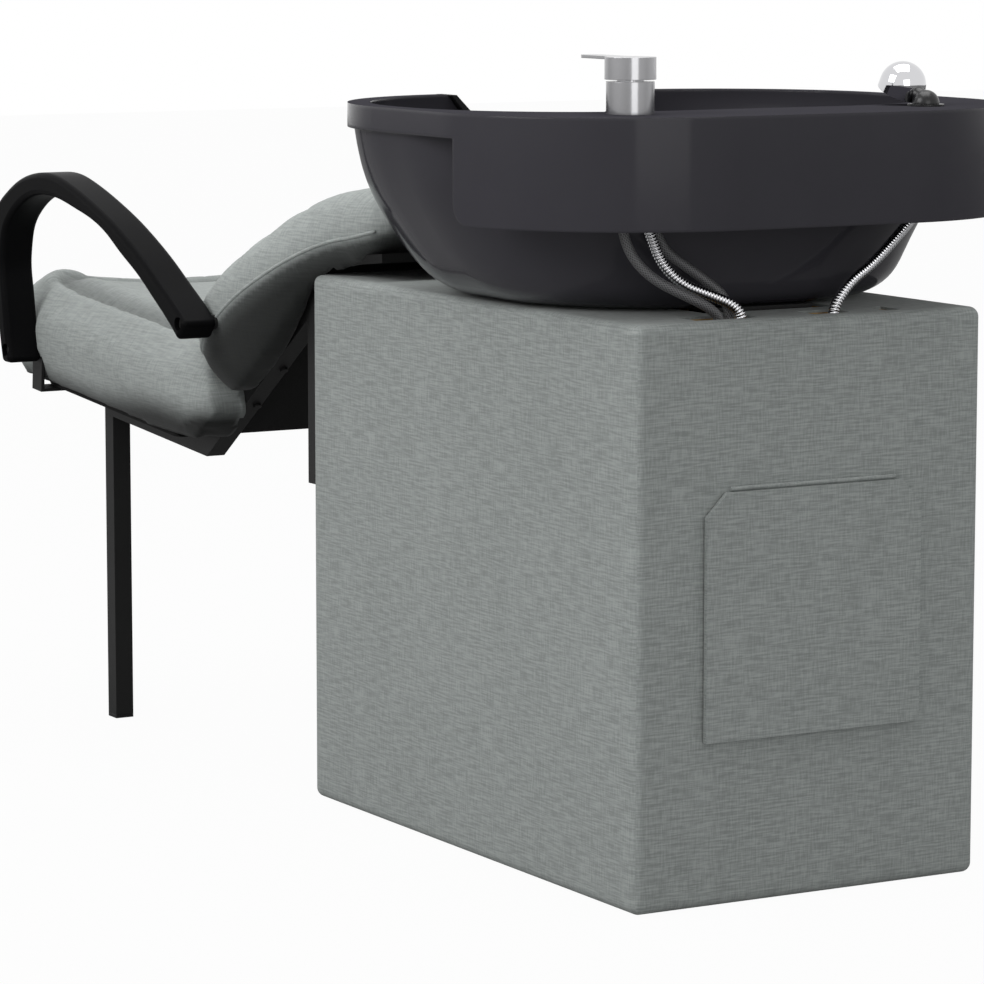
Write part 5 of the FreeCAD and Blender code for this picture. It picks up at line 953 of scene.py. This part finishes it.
@dataclass
class Hose:
    """A hose carried along the smooth line of its route.

    Attributes:
        name: name of the piece.
        node: the solid that it stands for.
        route: its route.
        radius: outer radius in metres.
        hide: ribs or a plain outside.
        pitch: distance of ribs in metres.
        groove: depth of the grooves in metres.
        part: first and last share of the route that this piece covers.
    """

    name: str
    node: str
    route: Route
    radius: float
    hide: Hide = Hide.PLAIN
    pitch: float = 0.0032
    groove: float = 0.0011
    part: tuple[float, float] = (0.0, 1.0)

    def line(self) -> np.ndarray:
        """Reads the route's smooth spline as evenly spaced points.

        Returns:
            Rows of points in metres, half a radius or an eighth of a rib apart.
        """
        curve = bpy.data.curves.new(self.name + "_route", "CURVE")
        curve.dimensions = "3D"
        curve.resolution_u = 24
        spline = curve.splines.new("NURBS")
        spline.points.add(len(self.route.value) - 1)
        spline.points.foreach_set("co", [value for x, y, z in self.route.value
                                         for value in (x * MM, y * MM, z * MM, 1.0)])
        spline.order_u = 3
        spline.use_endpoint_u = True
        holder = bpy.data.objects.new(self.name + "_route", curve)
        bpy.context.scene.collection.objects.link(holder)
        mesh = bpy.data.meshes.new_from_object(holder.evaluated_get(bpy.context.evaluated_depsgraph_get()))
        points = np.empty(len(mesh.vertices) * 3, dtype=np.float32)
        mesh.vertices.foreach_get("co", points)
        points = points.reshape(-1, 3).astype(np.float64)
        bpy.data.objects.remove(holder)
        step = self.pitch / 8 if self.hide is Hide.RIBS else self.radius * 0.5
        run = np.concatenate([[0], np.cumsum(np.linalg.norm(np.diff(points, axis=0), axis=1))])
        at = np.linspace(0, run[-1], int(run[-1] / step))
        return np.stack([np.interp(at, run, points[:, axis]) for axis in range(3)], axis=1)

    def build(self) -> tuple[bpy.types.Object, np.ndarray]:
        """Carries a ring along the line; ribs swell and shrink its radius as a rounded wave.

        Returns:
            The hose and its line.
        """
        points = self.line()
        way = np.gradient(points, axis=0)
        way /= np.linalg.norm(way, axis=1, keepdims=True)
        side = np.cross(way, np.array([0.0, 1.0, 0.0]))
        side /= np.linalg.norm(side, axis=1, keepdims=True)
        other = np.cross(way, side)
        run = np.concatenate([[0], np.cumsum(np.linalg.norm(np.diff(points, axis=0), axis=1))])
        radius = np.full(len(points), self.radius)
        if self.hide is Hide.RIBS:
            wave = np.abs(np.cos(math.pi * run / self.pitch)) ** 0.6
            radius -= self.groove * (1 - wave)
        count = 14
        turn = np.linspace(0, 2 * math.pi, count, endpoint=False)
        ring = side[:, None] * np.cos(turn)[None, :, None] + other[:, None] * np.sin(turn)[None, :, None]
        grid = points[:, None] + ring * radius[:, None, None]
        uv = np.stack([np.repeat(run[:, None], count, axis=1),
                       np.repeat(turn[None] / (2 * math.pi), len(points), axis=0)], axis=-1)
        first, last = (round(share * (len(points) - 1)) for share in self.part)
        kept = slice(first, last + 1)
        return grid_mesh(self.name, grid[kept], True, True, uv[kept]), points[kept]


@dataclass(frozen=True)
class Palette:
    """All finishes of the chair, made once. Each line says what the finish gives the eye.

    Attributes:
        cover_cloth: woven polyester stretched over flat board; matt, slubs run both ways.
        pad_cloth: the same cloth over foam; painted shade darkens it below the back's seam, in the seat's
            valleys, at the seat's hem and behind the back's front.
        backing: black nonwoven under seat and back; it swallows all light.
        glaze: dark grey glazed ceramic; even colour, with a weak sharp reflection.
        powder: black powder coat on steel tube; a fine grain breaks up the gloss.
        moulding: black self-skinning polyurethane; nearly no reflection.
        plastic: black moulded polyamide; a satin gloss on its edges.
        rubber: moulded rubber; matt and a little lighter than black.
        satin: satin plated brass of the mixer; drawn round, so that it shines in upright bands.
        polished: chrome plating; a mirror of the studio.
        zinc: zinc plated steel; cool and blurred.
        brass: turned brass; warm and blurred.
        chips: raw chipboard; chips in several browns.
        plies: birch plywood; broad pale figures.
        grey: moulded polypropylene; matt light grey.
        black_wire: braided black nylon over a supply hose; a painted highlight lightens the strand backs and
            painted shade darkens the gaps.
    """

    cover_cloth: Finish = WovenCloth("woven_slub_cloth", "a1a6a4", "868b89", Weave.BOX)
    pad_cloth: Finish = WovenCloth("woven_slub_cloth_padded", "a3a8a6", "8b908e", Weave.ROUND)
    backing: Finish = Grained("black_nonwoven_backing", "151515", "1e1e1e", (0.85, 0.98), 0.0015, 0.0001,
                              shine=0.2)
    glaze: Finish = Grained("glazed_ceramic_anthracite", "3f3e43", "3a393e", (0.09, 0.13), 0.004, 0.000004,
                            edge=0.004, shine=0.13, dull=0.73)
    powder: Finish = Grained("powder_coated_steel_black", "1e1e1e", "232323", (0.42, 0.52), 0.0006, 0.00003,
                             edge=0.0012, shine=0.2)
    moulding: Finish = Grained("moulded_polyurethane_black", "0b0b0c", "101011", (0.36, 0.42), 0.0009,
                               0.00003, shine=0.025)
    plastic: Finish = Grained("moulded_plastic_black", "0e0e0f", "131315", (0.25, 0.33), 0.0008, 0.00001,
                              edge=0.0006, shine=0.4)
    rubber: Finish = Grained("moulded_rubber_black", "111112", "161617", (0.5, 0.62), 0.0007, 0.00003,
                             edge=0.002, shine=0.2)
    satin: Finish = Grained("satin_plated_brass", "b2b2b4", "aaaaac", (0.18, 0.2), 0.0009, 0.0, 1.0,
                            stretch=(1.0, 1.0, 0.1), edge=0.0006)
    polished: Finish = Grained("polished_chrome_plating", "d8d8da", "cfcfd2", (0.04, 0.07), 0.002, 0.000002,
                               1.0, edge=0.0004)
    zinc: Finish = Grained("zinc_plated_steel", "a9aaa8", "93958f", (0.3, 0.45), 0.0008, 0.00001, 1.0)
    brass: Finish = Grained("turned_brass", "c9a45a", "b8924a", (0.25, 0.35), 0.0007, 0.00001, 1.0)
    chips: Finish = Board("raw_chipboard", "b8975f", "8a6a3e")
    plies: Finish = Board("birch_plywood", "d0ab77", "b58c58", 0.02)
    grey: Finish = Grained("moulded_polypropylene_grey", "8b8c8d", "818284", (0.45, 0.6), 0.001, 0.00002)
    black_wire: Finish = Braid("braided_black_nylon", "78787a", "0a0a0a")


@dataclass
class Dresser:
    """Gives every carried-over solid its finish.

    Attributes:
        nodes: objects of the frame by node name.
        palette: the finishes.
        made: materials made so far by palette field.
    """

    nodes: dict[str, bpy.types.Object]
    palette: Palette
    made: dict[str, bpy.types.Material] = field(default_factory=dict)

    def material(self, key: str) -> bpy.types.Material:
        """Makes or finds the material of one palette field.

        Args:
            key: a field of the palette.

        Returns:
            The material.
        """
        if key not in self.made:
            self.made[key] = getattr(self.palette, key).make()
        return self.made[key]

    def clad(self, key: str, piece: bpy.types.Object) -> None:
        """Puts one finish on a piece in place of all others."""
        piece.data.materials.clear()
        piece.data.materials.append(self.material(key))

    def dress(self, key: str, *names: str) -> None:
        """Puts a finish on nodes.

        Args:
            key: a field of the palette.
            names: node names.
        """
        for name in names:
            self.clad(key, self.nodes[name])
            LOG.info("%s: %s", name, key)

    def cover(self, key: str, piece: bpy.types.Object, body: str, *nodes: str) -> bpy.types.Object:
        """Puts a finish on a new piece, lets it ride, and hides what it stands for.

        Args:
            key: a field of the palette.
            piece: the new piece.
            body: the body that carries it.
            nodes: solids that it stands for.

        Returns:
            The piece.
        """
        self.clad(key, piece)
        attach(piece, body)
        if nodes:
            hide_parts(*nodes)
        LOG.info("%s: %s on %s", piece.name, key, body)
        return piece

    def bend(self, key: str, piece: bpy.types.Object, bodies: tuple[str, str], low: float, high: float,
             *nodes: str) -> bpy.types.Object:
        """Puts a finish on a new piece, bakes its placement into its mesh, hides what it stands for and logs
        two body names.

        Args:
            key: a field of the palette.
            piece: the new piece.
            bodies: the body below and the body above, whose names are only logged.
            low: a height in metres; not used.
            high: a height in metres; not used.
            nodes: solids that it stands for.

        Returns:
            The piece.
        """
        self.clad(key, piece)
        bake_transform(piece)
        if nodes:
            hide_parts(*nodes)
        LOG.info("%s: %s from %s to %s", piece.name, key, *bodies)
        return piece

    def dress_all(self) -> None:
        """Dresses all nodes that stay.

        The flap's hinge lies under the hem of the cover, so it takes the cloth's finish.
        """
        self.dress("cover_cloth", "cabinet_cover", "access_flap_fabric", "flap_hinge_fixed_leaf",
                   "flap_hinge_moving_leaf", "flap_hinge_pin")
        self.dress("chips", "cabinet_base_panel", "cabinet_side_left", "cabinet_side_right",
                   "cabinet_front_panel", "cabinet_back_panel", "cabinet_top_panel")
        self.dress("plies", "access_flap_board")
        self.dress("backing", "seat_board", "back_board", "seat_bottom_cover", "back_rear_cover")
        self.dress("glaze", "basin_shell")
        self.dress("rubber", "neck_rest", "rest_buffers")
        self.dress("powder", "side_frame_left", "side_frame_right", "front_legs", "frame_cross_tubes",
                   "basin_mount_plate", "tilt_bracket", "arm_brackets_front", "arm_brackets_rear",
                   "arm_screws", "board_screws")
        self.dress("moulding", "armrest_left", "armrest_right")
        self.dress("plastic", "cabinet_glides", "leg_foot_caps", "post_spacers", "shower_handle",
                   "shower_holder", "shower_holder_nut", "hose_clips")
        self.dress("satin", "mixer_body", "mixer_cap_lever", "mixer_cartridge")
        self.dress("polished", "shower_head", "shower_hose_end", "waste_flange", "hair_strainer",
                   "waste_tail")
        self.dress("zinc", "flap_magnets", "tilt_pivot_bolt", "post_bolts")
        self.dress("brass", "mixer_fixing_nut", "hose_end_nuts")
        self.dress("grey", "shower_spray_plate", "waste_coupling")


@dataclass
class Studio:
    """Pale floor, soft lamps, white surroundings for the camera, and the camera.

    Attributes:
        eye: place of the camera in metres.
        azimuth: way that it looks, in degrees round the object.
        fall: degrees that it looks down.
        lens: focal length for a sensor 36 mm wide.
    """

    eye: tuple[float, float, float] = (2.3303, 4.1318, 0.9631)
    azimuth: float = 150.233
    fall: float = 7.738
    lens: float = 159.66

    def camera(self) -> None:
        """Places the camera."""
        data = bpy.data.cameras.new("camera")
        data.sensor_width = 36.0
        data.lens = self.lens
        data.clip_end = 60
        holder = bpy.data.objects.new("camera", data)
        turn, fall = math.radians(self.azimuth), math.radians(self.fall)
        way = Vector((-math.sin(turn) * math.cos(fall), math.cos(turn) * math.cos(fall), -math.sin(fall)))
        holder.location = self.eye
        holder.rotation_euler = way.to_track_quat("-Z", "Y").to_euler()
        bpy.context.scene.collection.objects.link(holder)
        bpy.context.scene.camera = holder

    def lamp(self, name: str, place: tuple[float, float, float], size: float, watts: float) -> None:
        """Adds a square area lamp that faces the middle of the chair.

        Args:
            name: name of the lamp.
            place: its place in metres.
            size: its side in metres.
            watts: its power.
        """
        data = bpy.data.lights.new(name, "AREA")
        data.energy = watts
        data.size = size
        holder = bpy.data.objects.new(name, data)
        holder.location = place
        way = Vector((0.0, 0.1, 0.4)) - Vector(place)
        holder.rotation_euler = way.to_track_quat("-Z", "Y").to_euler()
        bpy.context.scene.collection.objects.link(holder)

    def seen_white(self, tree: bpy.types.NodeTree, lit: bpy.types.NodeSocket) -> bpy.types.NodeSocket:
        """Mixes a shader with plain white wherever camera, mirror or glass rays meet it.

        Args:
            tree: the world's tree.
            lit: the shader that lights the chair.

        Returns:
            The mixed shader.
        """
        rays = add(tree, "ShaderNodeLightPath").outputs
        either = add(tree, "ShaderNodeMath", {0: rays["Is Camera Ray"], 1: rays["Is Glossy Ray"]},
                     operation="MAXIMUM")
        any_of = add(tree, "ShaderNodeMath", {0: either.outputs[0], 1: rays["Is Transmission Ray"]},
                     operation="MAXIMUM")
        white = add(tree, "ShaderNodeBackground", {"Color": (1, 1, 1, 1), "Strength": 1.0})
        mixed = add(tree, "ShaderNodeMixShader", {0: any_of.outputs[0], 1: lit, 2: white.outputs[0]})
        return mixed.outputs[0]

    def floor(self) -> None:
        """Lays a floor that shows the camera white with a trace of shadow, and bounces grey light."""
        side = 14.0
        corners = [[[-side, -side, 0], [side, -side, 0]], [[-side, side, 0], [side, side, 0]]]
        floor = grid_mesh("floor", np.array(corners, dtype=float), False, False)
        material = bpy.data.materials.new("pale_floor")
        material.use_nodes = True
        tree = material.node_tree
        tree.nodes.clear()
        plain = add(tree, "ShaderNodeBsdfPrincipled", {"Base Color": tone("9c9c9c"), "Roughness": 0.9})
        glow = add(tree, "ShaderNodeEmission", {"Color": (1, 1, 1, 1), "Strength": 1.0})
        seen = add(tree, "ShaderNodeLightPath").outputs["Is Camera Ray"]
        share = add(tree, "ShaderNodeMath", {0: seen, 1: 0.97}, operation="MULTIPLY").outputs[0]
        mixed = add(tree, "ShaderNodeMixShader", {0: share, 1: plain.outputs[0], 2: glow.outputs[0]})
        add(tree, "ShaderNodeOutputMaterial", {"Surface": mixed.outputs[0]})
        floor.data.materials.append(material)

    def build(self) -> None:
        """Makes floor, world, lamps and camera."""
        self.floor()
        world = bpy.data.worlds.new("surroundings")
        bpy.context.scene.world = world
        world.use_nodes = True
        tree = world.node_tree
        tree.nodes.clear()
        lit = add(tree, "ShaderNodeBackground", {"Color": (1, 1, 1, 1), "Strength": 0.44})
        add(tree, "ShaderNodeOutputWorld", {"Surface": self.seen_white(tree, lit.outputs[0])})
        self.lamp("key", (3.4, 0.2, 2.6), 2.2, 70.0)
        self.lamp("top", (-0.2, 0.2, 4.0), 3.0, 90.0)
        self.lamp("fill", (1.0, 5.0, 1.6), 2.5, 32.0)
        self.camera()
        bpy.context.scene.view_settings.view_transform = "Standard"


def main() -> None:
    """Builds every piece of the chair round the fixed frame and logs each one."""
    logging.basicConfig(level=logging.INFO, format="%(message)s")
    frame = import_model()
    Studio().build()
    dresser = Dresser(frame["nodes"], Palette())
    dresser.dress_all()
    seat = dresser.cover("pad_cloth", SeatCushion().build(), "base", "seat_cushion")
    rest = BackCushion()
    back = dresser.cover("pad_cloth", rest.build(), "base", "back_cushion")
    dresser.cover("pad_cloth", rest.piping(back), "base")
    # Each hose hangs from the basin and is fixed in the cabinet; the two heights given for it are not used
    lift = Hose("shower_hose_end_ribbed", "", Route.SHOWER, 0.0055, Hide.RIBS, part=(SHOWER_SPLIT, 1.0))
    end = dresser.bend("polished", lift.build()[0], ("basin", "hand_shower"), 0.655, 0.694)
    hoses = [
        (Hose("shower_hose_ribbed", "shower_hose", Route.SHOWER, 0.0055, Hide.RIBS, part=(0.0, SHOWER_SPLIT)),
         "polished", "chrome", (0.585, 0.645), (end,)),
        (Hose("supply_hose_outer", "supply_hose_hot", Route.HOT, 0.005), "black_wire", "hose_braid",
         (0.585, 0.690), ()),
        (Hose("supply_hose_inner", "supply_hose_cold", Route.COLD, 0.005), "black_wire", "hose_braid",
         (0.585, 0.690), ()),
        (Hose("waste_hose_ribbed", "waste_hose", Route.WASTE, 0.018, Hide.RIBS, 0.008, 0.0015), "grey",
         "grey_plastic", (0.25, 0.48), ()),
    ]
    for hose, finish, slot, (under, over), parts in hoses:
        piece, line = hose.build()
        dresser.bend(finish, piece, ("base", "basin"), under, over, hose.node)


if __name__ == "__main__":
    main()
